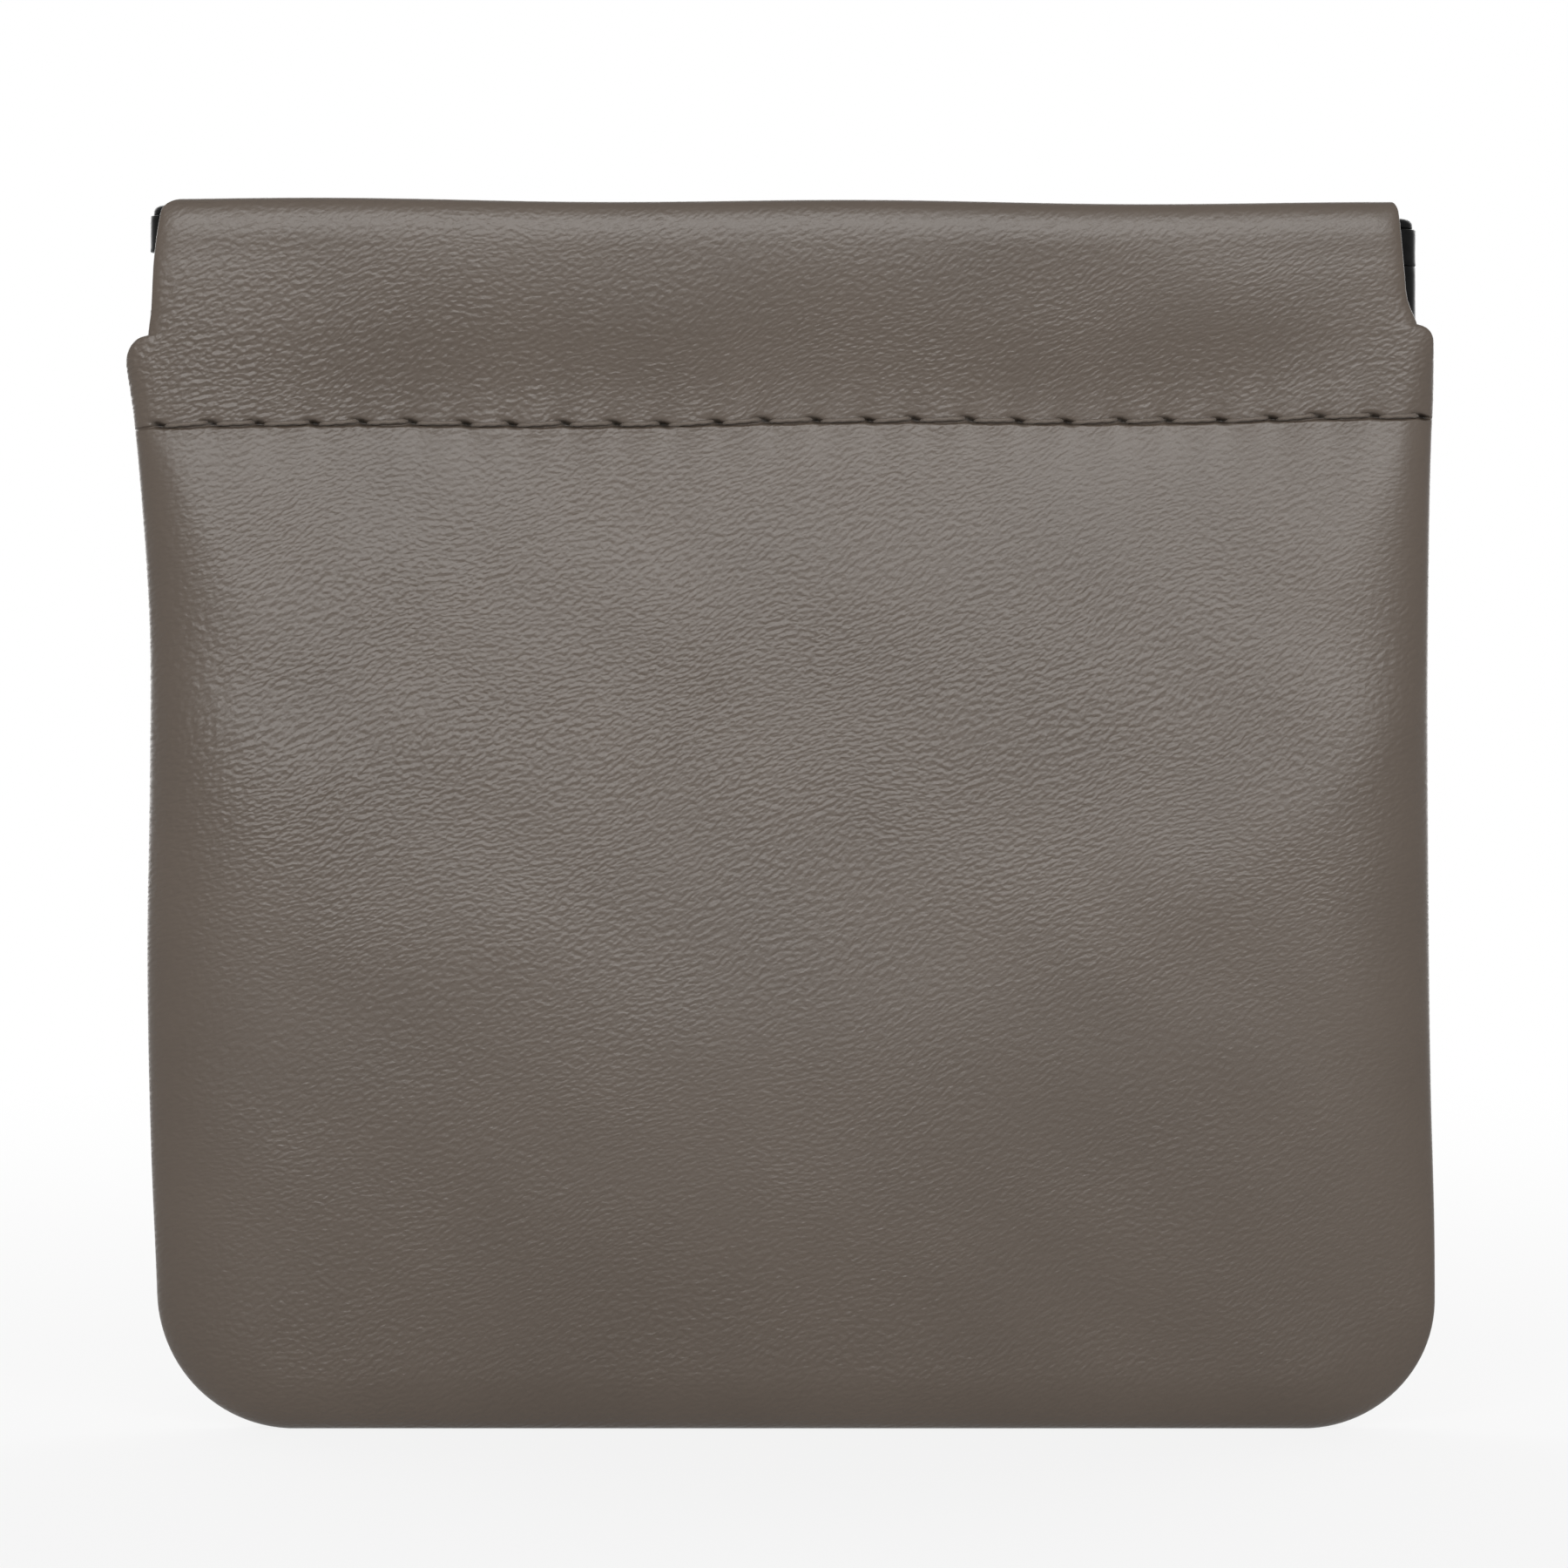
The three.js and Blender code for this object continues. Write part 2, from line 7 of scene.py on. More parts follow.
import bpy
import numpy as np
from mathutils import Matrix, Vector


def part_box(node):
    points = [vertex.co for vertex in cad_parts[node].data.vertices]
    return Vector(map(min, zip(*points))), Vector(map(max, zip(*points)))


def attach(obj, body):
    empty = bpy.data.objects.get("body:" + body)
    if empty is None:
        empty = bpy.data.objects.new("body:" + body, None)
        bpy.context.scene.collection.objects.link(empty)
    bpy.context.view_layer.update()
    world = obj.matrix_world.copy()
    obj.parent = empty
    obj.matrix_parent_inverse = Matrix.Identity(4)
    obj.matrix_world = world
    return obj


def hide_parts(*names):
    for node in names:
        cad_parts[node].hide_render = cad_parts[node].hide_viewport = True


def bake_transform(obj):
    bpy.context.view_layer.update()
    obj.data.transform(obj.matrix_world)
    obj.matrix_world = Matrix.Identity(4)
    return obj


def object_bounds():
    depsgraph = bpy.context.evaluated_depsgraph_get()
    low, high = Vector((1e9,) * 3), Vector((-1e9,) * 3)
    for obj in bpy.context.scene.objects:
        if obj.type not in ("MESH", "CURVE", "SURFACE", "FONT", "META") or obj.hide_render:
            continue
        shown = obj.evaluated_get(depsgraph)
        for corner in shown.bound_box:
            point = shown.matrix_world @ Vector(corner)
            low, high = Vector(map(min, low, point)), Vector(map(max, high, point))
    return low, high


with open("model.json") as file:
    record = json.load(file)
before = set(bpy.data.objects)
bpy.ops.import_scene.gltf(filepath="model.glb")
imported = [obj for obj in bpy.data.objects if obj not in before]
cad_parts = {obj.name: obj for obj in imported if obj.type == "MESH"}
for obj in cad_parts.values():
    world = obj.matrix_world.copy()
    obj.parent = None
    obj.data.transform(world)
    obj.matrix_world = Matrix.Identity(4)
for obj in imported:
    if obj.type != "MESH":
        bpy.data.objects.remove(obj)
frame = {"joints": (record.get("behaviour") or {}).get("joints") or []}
cad_low, cad_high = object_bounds()
joints = {joint["name"]: joint for joint in frame["joints"]}

# Sizes are in millimetres: x to the right as seen from the front, y to the back, z up.
MM = 0.001
LEFT, RIGHT = -1, 1
FRONT, BACK = -1, 1
SIDE_NAME = {LEFT: "left", RIGHT: "right"}
WALL_NAME = {FRONT: "front", BACK: "back"}


def middle(node, axis):
    low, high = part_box(node)
    return (low[axis] + high[axis]) / 2 / MM


PIN_X = middle("right_hinge_pin", 0)
STITCH_Z = middle("front_hem_thread_center", 2)
STRIP_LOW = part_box("front_spring_center")[0].z / MM
STRIP_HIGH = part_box("front_spring_center")[1].z / MM
TOP = cad_high.z / MM
SEAM_Z = joints["mouth_open"]["pos_m"][2] / MM

# Outline of the pouch as (height, place across) points.
SIDE_EDGE = {
    LEFT: (
        (0, -48.0), (10, -48.2), (21.5, -48.65), (37.6, -48.92), (50, -48.75),
        (63, -48.8), (72.5, -49.4), (79, -50.0), (82, -50.4), (87, -50.5),
    ),
    RIGHT: (
        (0, 50.3), (16, 50.3), (26, 50.05), (43, 49.86),
        (63, 49.86), (76, 50.1), (80, 50.25), (87, 50.0),
    ),
}
CASING_EDGE = {
    LEFT: (
        (78, -48.7), (84.8, -48.65), (86, -48.48), (88, -48.36),
        (90, -48.24), (91.6, -48.05), (95, -47.45),
    ),
    RIGHT: ((78, 49.2), (85, 48.85), (86.8, 48.15), (89, 47.9), (92.3, 47.6), (95, 47.3)),
}
SHOULDER = {LEFT: (82.1, 84.4), RIGHT: (83.55, 84.88)}
BOTTOM_CORNER = {LEFT: 10.4, RIGHT: 10.0}
TOP_CORNER = {LEFT: (1.6, 1.0), RIGHT: (0.5, 1.0)}
FLAP_END = 45.0

# The hem was sewn with a slight slope, as (height, slope) points, and a slight wave.
HEM_LEAN = ((0, 0), (40, 0), (STITCH_Z, 0.28), (TOP, -0.2))
HEM_LEAN_RUN = 48
HEM_WAVE = 0.12
HEM_WAVE_RUN = 6.5
HEM_WAVE_START = 0.6
HEM_WAVE_FOOT = 60

# Depth of a wall, from the middle plane outwards.
LEATHER = 0.9
CASING_LEATHER = 0.65
BELLY_DEPTH = 4.45
BELLY_Z = 28
BELLY_SIDE_Z = 52
BELLY_FOOT = 2.85
BELLY_HEAD = 2.2
BELLY_EASE = 0.15
SLACK_FADE = 3
CREASE_DEPTH = 0.2
CREASE_WIDTH = 0.11
CREASE_SCALLOP = 0.06
# Share of painted shade along the crease under the stitches.
CREASE_SHADE = 0.13
MOUTH_GAP = 0.25
MOUTH_END = 42
MOUTH_EASE = 14
FOLD_FRONT = 1.05
FOLD_BACK = 2.45
FOLD_RISE = 3.0
FLAP_RISE = 1.8
FOLD_FULLNESS = 2.4
FOLD_Z = TOP - FOLD_RISE
FOLD_CREST = MOUTH_GAP + FOLD_BACK
CASING_PROFILE = (
    (STITCH_Z, BELLY_HEAD),
    (78.5, 2.26),
    (80.5, 2.44),
    (83, 2.81),
    (85, 3.13),
    (88, 3.49),
    (90, 3.66),
    (FOLD_Z, FOLD_CREST + FOLD_FRONT),
)
CASING_DROP = 0.5
PUFF_DEPTH = 0.95
PUFF_RISE = 8
PUFF_FALL = 40
PUFF_REACH = (28, 46)
PUFF_END = 3
PUCKER_DEPTH = 0.07
PUCKER_FADE = 2.2
SIDE_ROUND = 10
BOTTOM_ROUND = 4.5
CASING_ROUND = 2.2
CASING_ROUND_FOOT = 58
RIM_EASE = 4
ROUNDNESS = 2.1

# Slow waves in the slack leather, as (depth, seed, length).
BELLY_WAVES = ((0.07, 11, 30), (0.02, 21, 11))
CASING_WAVES = (0.08, 31, 17)
WAVE_COUNT = 8
WAVE_SPREAD = (0.7, 1.8)

# Inside of a wall: the backing below the hem, and the casing that lies close on the spring strip.
LINING_REACH = 12
LINING_GAP = 0.1
LINING_EASE = 8
HEM_BLEND = (-2, 1.5)
SNUG_END = 38

# Number of rows up a panel, and of points from the end of a row inwards.
ROWS = {
    "corner": 27, "body": 82, "below_stitches": 10, "stitches": 25, "casing": 9,
    "shoulder": 25, "above": 13, "fold": 25, "flap": 13,
}
SEWN_LOW, SEWN_MIDDLE, SEWN_HIGH = -3, -0.5, 0.7
SHOULDER_MARGIN = 0.3
FLAP_OVERLAP = 1
EDGE_STEPS = 37
INNER_STEPS = 151

# Turned seam: the rolled lips and the seam line between them.
LIP_ROLL = 0.25
LIP_STEPS = 5
LIP_SHARE = np.linspace(0, 1, LIP_STEPS + 1)[1:, None, None]
LIP_RUN = 2.5
SIDE_OPENING = math.tan(math.radians(31))
BOTTOM_OPENING = math.tan(math.radians(14))
SEAM_PRESS = 0.19
BOTTOM_PRESS = 0.02
SEAM_TOP = 80.2
SEAM_LEAST = 0.6
SLOT_EASE = 1.5
CUT_END = 0.85
CUT_BEND = 0.45
CUT_ROLL = 0.3
SEAM_STITCH_START = 12
SEAM_STITCH_PITCH = 3.0
SEAM_STITCH_INSET = 0.9
SEAM_STITCH_BOW = 0.35
SEAM_STITCH_REACH = 0.45
SEAM_STITCH_SLANT = 0.3
SEAM_THREAD_RADIUS = 0.2

# Bottom seam: section of the sewn plies, as (depth, height), their (size, pace) of sway, and the stitches.
PLY_SECTION = ((-0.3, 2.5), (-0.34, 1.3), (-0.25, 0.75), (-0.06, 0.62))
PLY_SWAY_Y = (0.03, 2.3)
PLY_SWAY_Z = (0.04, 3.1)
PLY_STEPS = 120
BOTTOM_STITCHES = 24
BOTTOM_STITCH_MARGIN = (1, 4)
BOTTOM_STITCH_LENGTH = 2.8
BOTTOM_STITCH_Z = 0.52
BOTTOM_STITCH_DIVE = 0.2
BOTTOM_STITCH_TURN = 0.2
BOTTOM_THREAD_RADIUS = 0.12

# Hem stitches.
HOLE_START = -47.8
HOLE_PITCH = 3.886
HOLES = 26
HOLE_SLANT = math.radians(19)
HOLE_SIZE = (0.56, 0.19)
HOLE_DEPTH = 0.45
HOLE_RISE = 0.17
HOLE_SWAY = (0.2, 0.06)
HOLE_SWAY_PACE = (2.4, 1.7)
THREAD_RADIUS = 0.16
THREAD_TWIST = 3.2
PLY_DEPTH = 0.14
STITCH_STEPS = 21
STITCH_SLOPE = 0.08
STITCH_LIFT = 0.07
STITCH_DIVE = 0.5
STITCH_TURN = 0.1

# Leatherette: the square of hide that the pattern covers, and the lie and depth of its slanted grain.
HIDE_SIZE = 120
GRAIN_SLOPE = 0.3
GRAIN_FAN = 0.0012
GRAIN_DRIFT = 6
GRAIN_LENGTH = 0.66
GRAIN_FADE = -0.005
GRAIN_STRETCH = ((0.3, 0.62), (0.62, 1))
GRAIN_DEPTH = 0.085 * MM
PORE_DEPTH = 0.012 * MM
FLECK_SHARE = 0.35
TAUPE = ((0.35, (0.084, 0.064, 0.049)), (0.95, (0.104, 0.080, 0.062)))
# Painted shade: near-black leather colour in the needle holes and along the crease under the stitches.
PAINTED_HOLE_SHADE = (0.01, 0.008, 0.006, 1)

# Size of the grain at shares of 100 mm up the hide. It is faint along the stitches and on the fold.
GRAIN_BANDS = (
    (0, 0.9), (0.15, 0.62), (0.33, 0.55), (0.42, 0.75), (0.5, 0.95), (0.6, 0.9),
    (0.74, 0.6), (0.775, 0.45), (0.79, 0.85), (0.835, 1.22), (0.885, 0.87), (0.96, 0.35),
)

# Colours of the other materials, as (place on the ramp, colour).
KNIT = ((0.0, (0.09, 0.078, 0.067)), (1.0, (0.16, 0.14, 0.122)))
THREAD = ((0.3, (0.095, 0.074, 0.058)), (0.75, (0.14, 0.113, 0.091)))
LACQUER = ((0.45, (0.003, 0.003, 0.003)), (0.8, (0.008, 0.008, 0.008)))

# Spring frame.
STRIP_THICKNESS = 0.5
STRIP_INNER = 1.0
STRIP_CAMBER = 0.4
STRIP_OUTER = STRIP_INNER + STRIP_THICKNESS
STRIP_MIDDLE = STRIP_INNER + STRIP_THICKNESS / 2
STRIP_END = PIN_X - 4
STRIP_STEPS = 34
STRIP_ROWS = 9
STRIP_EASE = 0.12
CAMBER_EASE = 8
KNUCKLE_LEAD = (-4.5, -3, -1.5)
KNUCKLE_TURN = math.radians(185)
KNUCKLE_STEPS = 30
PIN_RADIUS = 0.6
PIN_HEAD = (
    (0, 0), (0.5, 0.03), (0.9, 0.12), (1.15, 0.28),
    (1.25, 0.5), (1.25, 0.78), (1.18, 0.85),
)
PIN_HEAD_HEIGHT = 0.86
TOP_KNUCKLE = 2.8
KNUCKLE_GAP = 0.05
HINGE_X = {LEFT: 0.05 - PIN_X, RIGHT: PIN_X + 0.2}
HINGE_PLAY = {LEFT: 0.3, RIGHT: 0}
FRAME_RISE = 0.61
FRAME_LEAN = 0.53

# Studio, in metres and watts. The floor shows whiter further off. Lamps are (name, place, size, power).
WHITE = (1, 1, 1, 1)
FLOOR_COLOUR = (0.72, 0.72, 0.72, 1)
FLOOR_REACH = 3.0
FLOOR_WHITE = {"From Min": 0.1, "From Max": 0.6, "To Min": 0.84, "To Max": 1}
ROOM_LIGHT = 0.18
LAMP_TARGET = (0, 0, 0.05)
LAMPS = (
    ("key", (0, -0.95, 0.39), (0.8, 0.22), 7.4),
    ("back", (0, 1.1, 0.55), (1.8, 1.0), 10),
    ("left_fill", (-0.6, 0.85, 0.3), (0.7, 0.7), 4),
    ("right_fill", (0.6, 0.85, 0.3), (0.7, 0.7), 4),
)

# Camera: lens, sensor and the width of the view, in millimetres.
LENS = 150
SENSOR = 36
FIELD = 120.8
VIEW_MARGIN = 2
VIEW_X = 0.2
VIEW_Z = 49.75


def mix(a, b, t):
    return a + (b - a) * t


def smoothstep(t, start, end):
    s = np.clip((np.asarray(t, float) - start) / (end - start), 0, 1)
    return s * s * (3 - 2 * s)


def curve(points):
    """A smooth line through (place, value) points, as a function of the place."""
    at, value = np.array(points, float).T
    slope = np.gradient(value, at)

    def value_at(place):
        place = np.clip(place, at[0], at[-1])
        k = np.clip(np.searchsorted(at, place, "right") - 1, 0, len(at) - 2)
        width = at[k + 1] - at[k]
        s = (place - at[k]) / width
        bend = s * (1 - s) * width * (slope[k] * (1 - s) - slope[k + 1] * s)
        return mix(value[k], value[k + 1], s * s * (3 - 2 * s)) + bend

    return value_at


side_edge = {side: curve(points) for side, points in SIDE_EDGE.items()}
casing_edge = {side: curve(points) for side, points in CASING_EDGE.items()}


def rounding(place, start, end):
    """A quarter round as a share: 0 at the start, 1 with a level end."""
    t = np.clip((place - start) / (end - start), 0, 1)
    return 1 - np.sqrt(1 - t * t)


def straight_end(side, z):
    """End of a row before its corners are rounded: the side edge, and the casing above the shoulder."""
    return mix(side_edge[side](z), casing_edge[side](z), rounding(z, *SHOULDER[side]))


def row_end(side, z):
    bottom = BOTTOM_CORNER[side]
    across, down = TOP_CORNER[side]
    inset = bottom * rounding(z, bottom, 0) + across * rounding(z, TOP - down, TOP)
    return straight_end(side, z) - side * inset


def by_side(x, values):
    return np.where(x < 0, values[LEFT], values[RIGHT])


def to_edge(x, z):
    """Distance to the turned edge, and how far that edge faces down, from 0 at the sides to 1 below."""
    across = np.where(x < 0, x - straight_end(LEFT, z), straight_end(RIGHT, z) - x)
    radius = by_side(x, BOTTOM_CORNER)
    in_corner = (across < radius) & (z < radius)
    reach = np.maximum(np.hypot(radius - across, radius - z), 1e-6)
    distance = np.where(in_corner, radius - reach, np.minimum(across, z))
    down = np.where(in_corner, (radius - z) / reach, z < across)
    return np.maximum(distance, 0), down**2


def seam_depth(x, z, down):
    """How far the seam line lies inside the outline."""
    end = np.where(x < 0, -straight_end(LEFT, z), straight_end(RIGHT, z))
    return mix(np.maximum(end - PIN_X, SEAM_LEAST), SEAM_Z, down)


def lip_depth(x, z, down):
    """Depth of a rolled lip where the wall turns in to the seam."""
    return seam_depth(x, z, down) * mix(SIDE_OPENING, BOTTOM_OPENING, down)


def waves(x, z, seed, length):
    """Slow unevenness of a soft panel, from a few fixed waves."""
    chance = np.random.default_rng(seed)
    total = np.zeros(np.broadcast(x, z).shape)
    for _ in range(WAVE_COUNT):
        heading = chance.uniform(0, math.pi)
        pace = 2 * math.pi / (length * chance.uniform(*WAVE_SPREAD))
        start = chance.uniform(0, 2 * math.pi)
        total += np.sin((x * math.cos(heading) + z * math.sin(heading)) * pace + start)
    return total / math.sqrt(WAVE_COUNT)


def hole_place(k):
    """Place of a needle hole; the row is sewn a little unevenly."""
    x = HOLE_START + HOLE_PITCH * k + HOLE_SWAY[0] * np.sin(HOLE_SWAY_PACE[0] * k)
    return x, STITCH_Z + HOLE_RISE + HOLE_SWAY[1] * np.sin(HOLE_SWAY_PACE[1] * k)


def from_hole(x, z, wall):
    """Place along and across the slanted needle hole that is nearest."""
    k = np.clip(np.round((x - HOLE_START) / HOLE_PITCH), 0, HOLES - 1)
    hole_x, hole_z = hole_place(k)
    dx = (x - hole_x) * -wall
    dz = z - hole_z
    along = dx * math.cos(HOLE_SLANT) - dz * math.sin(HOLE_SLANT)
    across = dx * math.sin(HOLE_SLANT) + dz * math.cos(HOLE_SLANT)
    return along, across


def hole(x, z, wall):
    along, across = from_hole(x, z, wall)
    return np.exp(-((along / HOLE_SIZE[0]) ** 2) - (across / HOLE_SIZE[1]) ** 2)


def crease(x, z):
    """Share of the narrow crease along the stitches, which rises a little towards each needle hole."""
    scallop = CREASE_SCALLOP * np.cos(2 * math.pi * (x - HOLE_START) / HOLE_PITCH)
    return np.exp(-(((z - STITCH_Z - scallop) / CREASE_WIDTH) ** 2))


def pucker(x, z):
    """Small gathers of the leather between the needle holes."""
    near = np.exp(-np.abs(z - STITCH_Z) / PUCKER_FADE)
    return PUCKER_DEPTH * np.cos(2 * math.pi * (x - HOLE_START) / HOLE_PITCH) * near


def puff(x, z):
    """Fullness towards the ends of the hem, where the side seams hold more leather."""
    above = np.maximum(z - STITCH_Z, 0)
    below = np.maximum(STITCH_Z - z, 0)
    fade = np.exp(-((above / PUFF_RISE) ** 2) - below / PUFF_FALL)
    fade = fade * (1 - smoothstep(z, FOLD_Z - PUFF_END, FOLD_Z))
    return PUFF_DEPTH * smoothstep(np.abs(x), *PUFF_REACH) * fade


def body_depth(x, z, wall):
    """Belly of the wall, which sags lowest in the middle and is drawn in at the hem."""
    fullest = mix(BELLY_Z, BELLY_SIDE_Z, (x / PIN_X) ** 2)
    foot = mix(BELLY_DEPTH, BELLY_FOOT, np.clip(1 - z / fullest, 0, 1) ** 2)
    rise = np.clip((z - fullest) / (STITCH_Z - fullest), 0, 1)
    head = mix(BELLY_DEPTH, BELLY_HEAD, (np.hypot(rise, BELLY_EASE) - BELLY_EASE) / (1 - BELLY_EASE))
    belly = np.where(z < fullest, foot, head)
    slack = sum(size * waves(x, z, seed + wall, length) for size, seed, length in BELLY_WAVES)
    return belly + slack * (1 - np.exp((z - STITCH_Z) / SLACK_FADE)) + puff(x, z) - pucker(x, z)


def casing_depth(x, z, wall):
    """Casing above the stitches, which leans out over the spring strip."""
    rise = np.clip((z - STITCH_Z) / (FOLD_Z - STITCH_Z), 0, 1)
    size, seed, length = CASING_WAVES
    slack = size * waves(x, z, seed + wall, length) * np.sin(math.pi * rise)
    return curve(CASING_PROFILE)(z) + slack + puff(x, z) - pucker(x, z)


def panel_depth(x, z, turn, wall):
    """Depth of the grain side: belly, crease, casing, fold over the top and flap inside."""
    distance, down = to_edge(x, z)
    depth = np.where(z < STITCH_Z, body_depth(x, z, wall), casing_depth(x, z, wall))
    above = smoothstep(z, SEAM_TOP, SEAM_TOP + RIM_EASE)
    rim = np.minimum(mix(lip_depth(x, z, down) + LIP_ROLL, depth - CASING_DROP, above), depth)
    in_casing = smoothstep(z, CASING_ROUND_FOOT, SEAM_TOP)
    width = mix(mix(SIDE_ROUND, BOTTOM_ROUND, down), CASING_ROUND, in_casing)
    near = 1 - np.minimum(distance / width, 1)
    rounded = (1 - near**ROUNDNESS) ** (1 / ROUNDNESS)
    depth = mix(rim, depth, rounded) - HOLE_DEPTH * hole(x, z, wall) - CREASE_DEPTH * crease(x, z)
    over = np.abs(np.cos(turn)) ** (2 / FOLD_FULLNESS)
    front = FOLD_CREST + (FOLD_FRONT - CASING_DROP * (1 - rounded)) * over
    closed = MOUTH_GAP * smoothstep(MOUTH_END - np.abs(x), 0, MOUTH_EASE)
    folded = np.where(turn < math.pi / 2, front, FOLD_CREST - (FOLD_BACK + closed) * over)
    return np.where(turn > 0, folded, depth)


def settle(x, z):
    """Slight slope and wave of the hem, as it was sewn."""
    heights, slopes = zip(*HEM_LEAN)
    lean = np.interp(z, heights, slopes) * x / HEM_LEAN_RUN
    wave = HEM_WAVE * np.sin(x / HEM_WAVE_RUN + HEM_WAVE_START)
    return z + lean + wave * smoothstep(z, HEM_WAVE_FOOT, STITCH_Z)


def run_of(start, end, name):
    """Evenly spaced rows after the start and up to the end."""
    return np.linspace(start, end, ROWS[name])[1:]


def fold_rows():
    """Heights of the rows over the fold at the top, and how far each has turned."""
    turn = run_of(0, math.pi, "fold")
    rise = np.where(turn < math.pi / 2, FOLD_RISE, FLAP_RISE)
    return TOP - rise * (1 - np.abs(np.sin(turn)) ** (2 / FOLD_FULLNESS)), turn


def panel_rows():
    """Heights of the rows of a panel, and how far each has turned over the fold."""
    quarter = np.linspace(0, math.pi / 2, ROWS["corner"])
    corner = BOTTOM_CORNER[LEFT] * (1 - np.cos(quarter))
    sewn_start = STITCH_Z + SEWN_LOW
    body = run_of(corner[-1], sewn_start, "body")
    below = STITCH_Z + run_of(SEWN_LOW, SEWN_MIDDLE, "below_stitches")
    stitches = STITCH_Z + run_of(SEWN_MIDDLE, SEWN_HIGH, "stitches")
    low, high = SHOULDER[LEFT][0], SHOULDER[RIGHT][1] + SHOULDER_MARGIN
    casing = run_of(stitches[-1], low, "casing")
    shoulder = run_of(low, high, "shoulder")
    above = run_of(high, FOLD_Z, "above")
    fold, turn = fold_rows()
    flap = run_of(TOP - FLAP_RISE, STITCH_Z - FLAP_OVERLAP, "flap")
    z = np.concatenate([corner, body, below, stitches, casing, shoulder, above, fold, flap])
    turned = np.zeros(len(z))
    turned[-len(turn) - len(flap) : -len(flap)] = turn
    turned[-len(flap) :] = math.pi
    return z, turned


def panel_columns(z, turn):
    """Places of the points of each row, closer together near its ends, with one in the middle."""
    inside = smoothstep(turn, math.pi / 2, math.pi)
    edge_steps = SIDE_ROUND * (1 - np.cos(np.linspace(0, math.pi / 2, EDGE_STEPS)))
    edge = np.broadcast_to(edge_steps, (len(z), EDGE_STEPS))
    half = []
    for side in (LEFT, RIGHT):
        end = mix(row_end(side, z), side * FLAP_END, inside)
        run = np.abs(end)[:, None]
        inner = edge_steps[-1] + (run - edge_steps[-1]) * np.linspace(0, 1, INNER_STEPS)[None, 1:]
        half.append(side * (run - np.concatenate([edge, inner], 1)))
    return np.concatenate([half[0], half[1][:, -2::-1]], 1)


def grid_normals(points):
    """Normals of a grid of points, on the side of its rows' left hand."""
    along = np.gradient(points, axis=1)
    up = np.gradient(points, axis=0)
    normal = np.cross(along, up)
    return normal / np.maximum(np.linalg.norm(normal, axis=2, keepdims=True), 1e-9)


def grid_faces(ids):
    quads = [ids[:-1, :-1], ids[:-1, 1:], ids[1:, 1:], ids[1:, :-1]]
    return np.stack(quads, -1).reshape(-1, 4)


Grid = namedtuple("Grid", "x z turn depth outer distance down inward")


def panel_grid(wall):
    """Grain side of a wall as a grid of points, with the way to its edge and inwards from it."""
    z, turn = panel_rows()
    x = panel_columns(z, turn)
    z = np.broadcast_to(z[:, None], x.shape)
    turn = np.broadcast_to(turn[:, None], x.shape)
    depth = panel_depth(x, z, turn, wall)
    outer = np.stack([x, -depth, settle(x, z)], 2)
    distance, down = to_edge(x, z)
    side = np.where(x < 0, LEFT, RIGHT)
    inward = np.stack([-side * np.sqrt(1 - down), 0 * x, np.sqrt(down)], 2)
    return Grid(x, z, turn, depth, outer, distance, down, inward)


def body_inside(grid):
    """Backing of the wall below the hem, which runs in to the seam along the edge."""
    near = np.maximum(1 - grid.distance / LINING_REACH, 0)
    shift = (seam_depth(grid.x, grid.z, grid.down) + LEATHER) * near**2
    inside = grid.outer + grid.inward * shift[..., None]
    lining = np.maximum(grid.depth - LEATHER, LINING_GAP)
    inside[..., 1] = -mix(LINING_GAP, lining, smoothstep(grid.distance, 0, LINING_EASE))
    return inside


def casing_inside(grid):
    """Inside of the casing, which lies close on the cambered strip except near its ends."""
    inside = grid.outer - grid_normals(grid.outer) * CASING_LEATHER
    snug = smoothstep(SNUG_END - np.abs(grid.x), 0, MOUTH_EASE)
    snug = np.where(grid.turn < math.pi / 2, snug, 0)
    across = (2 * (grid.z - FRAME_RISE) - STRIP_LOW - STRIP_HIGH) / (STRIP_HIGH - STRIP_LOW)
    arch = 1 - across**2
    room = np.where(arch < 0, MOUTH_GAP + CASING_LEATHER, STRIP_OUTER + STRIP_CAMBER * arch)
    inside[..., 1] = mix(inside[..., 1], np.maximum(inside[..., 1], -room), snug)
    return inside


def panel_inside(grid):
    """Inside of a wall: the backing below the hem, and the casing above it."""
    hem_low, hem_high = (STITCH_Z + step for step in HEM_BLEND)
    sewn = np.where(grid.turn > 0, 1, smoothstep(grid.z, hem_low, hem_high))
    return mix(body_inside(grid), casing_inside(grid), sewn[..., None])


def panel_lip(grid, inner, rim):
    """Rolled edge of a wall: the lip that turns in to the seam, and the cut ends of the casing."""
    x, z, down, turn = (part.ravel()[rim] for part in (grid.x, grid.z, grid.down, grid.turn))
    start, end, inward = (part.reshape(-1, 3)[rim] for part in (grid.outer, inner, grid.inward))
    seam = start + inward * seam_depth(x, z, down)[:, None]
    seam[:, 1] = mix(SEAM_PRESS, BOTTOM_PRESS, down**4)
    seam_bend = np.copy(start)
    seam_bend[:, 1] = -lip_depth(x, z, down)
    cut = mix(start, end, CUT_END)
    cut_bend = mix(start, end, CUT_BEND) - inward * CUT_ROLL
    is_open = np.where(turn > 0, 1, smoothstep(z, SEAM_TOP, SEAM_TOP + SLOT_EASE))[:, None]
    bend, last = mix(seam_bend, cut_bend, is_open), mix(seam, cut, is_open)
    t = LIP_SHARE
    return start * (1 - t) ** 2 + bend * 2 * t * (1 - t) + last * t**2


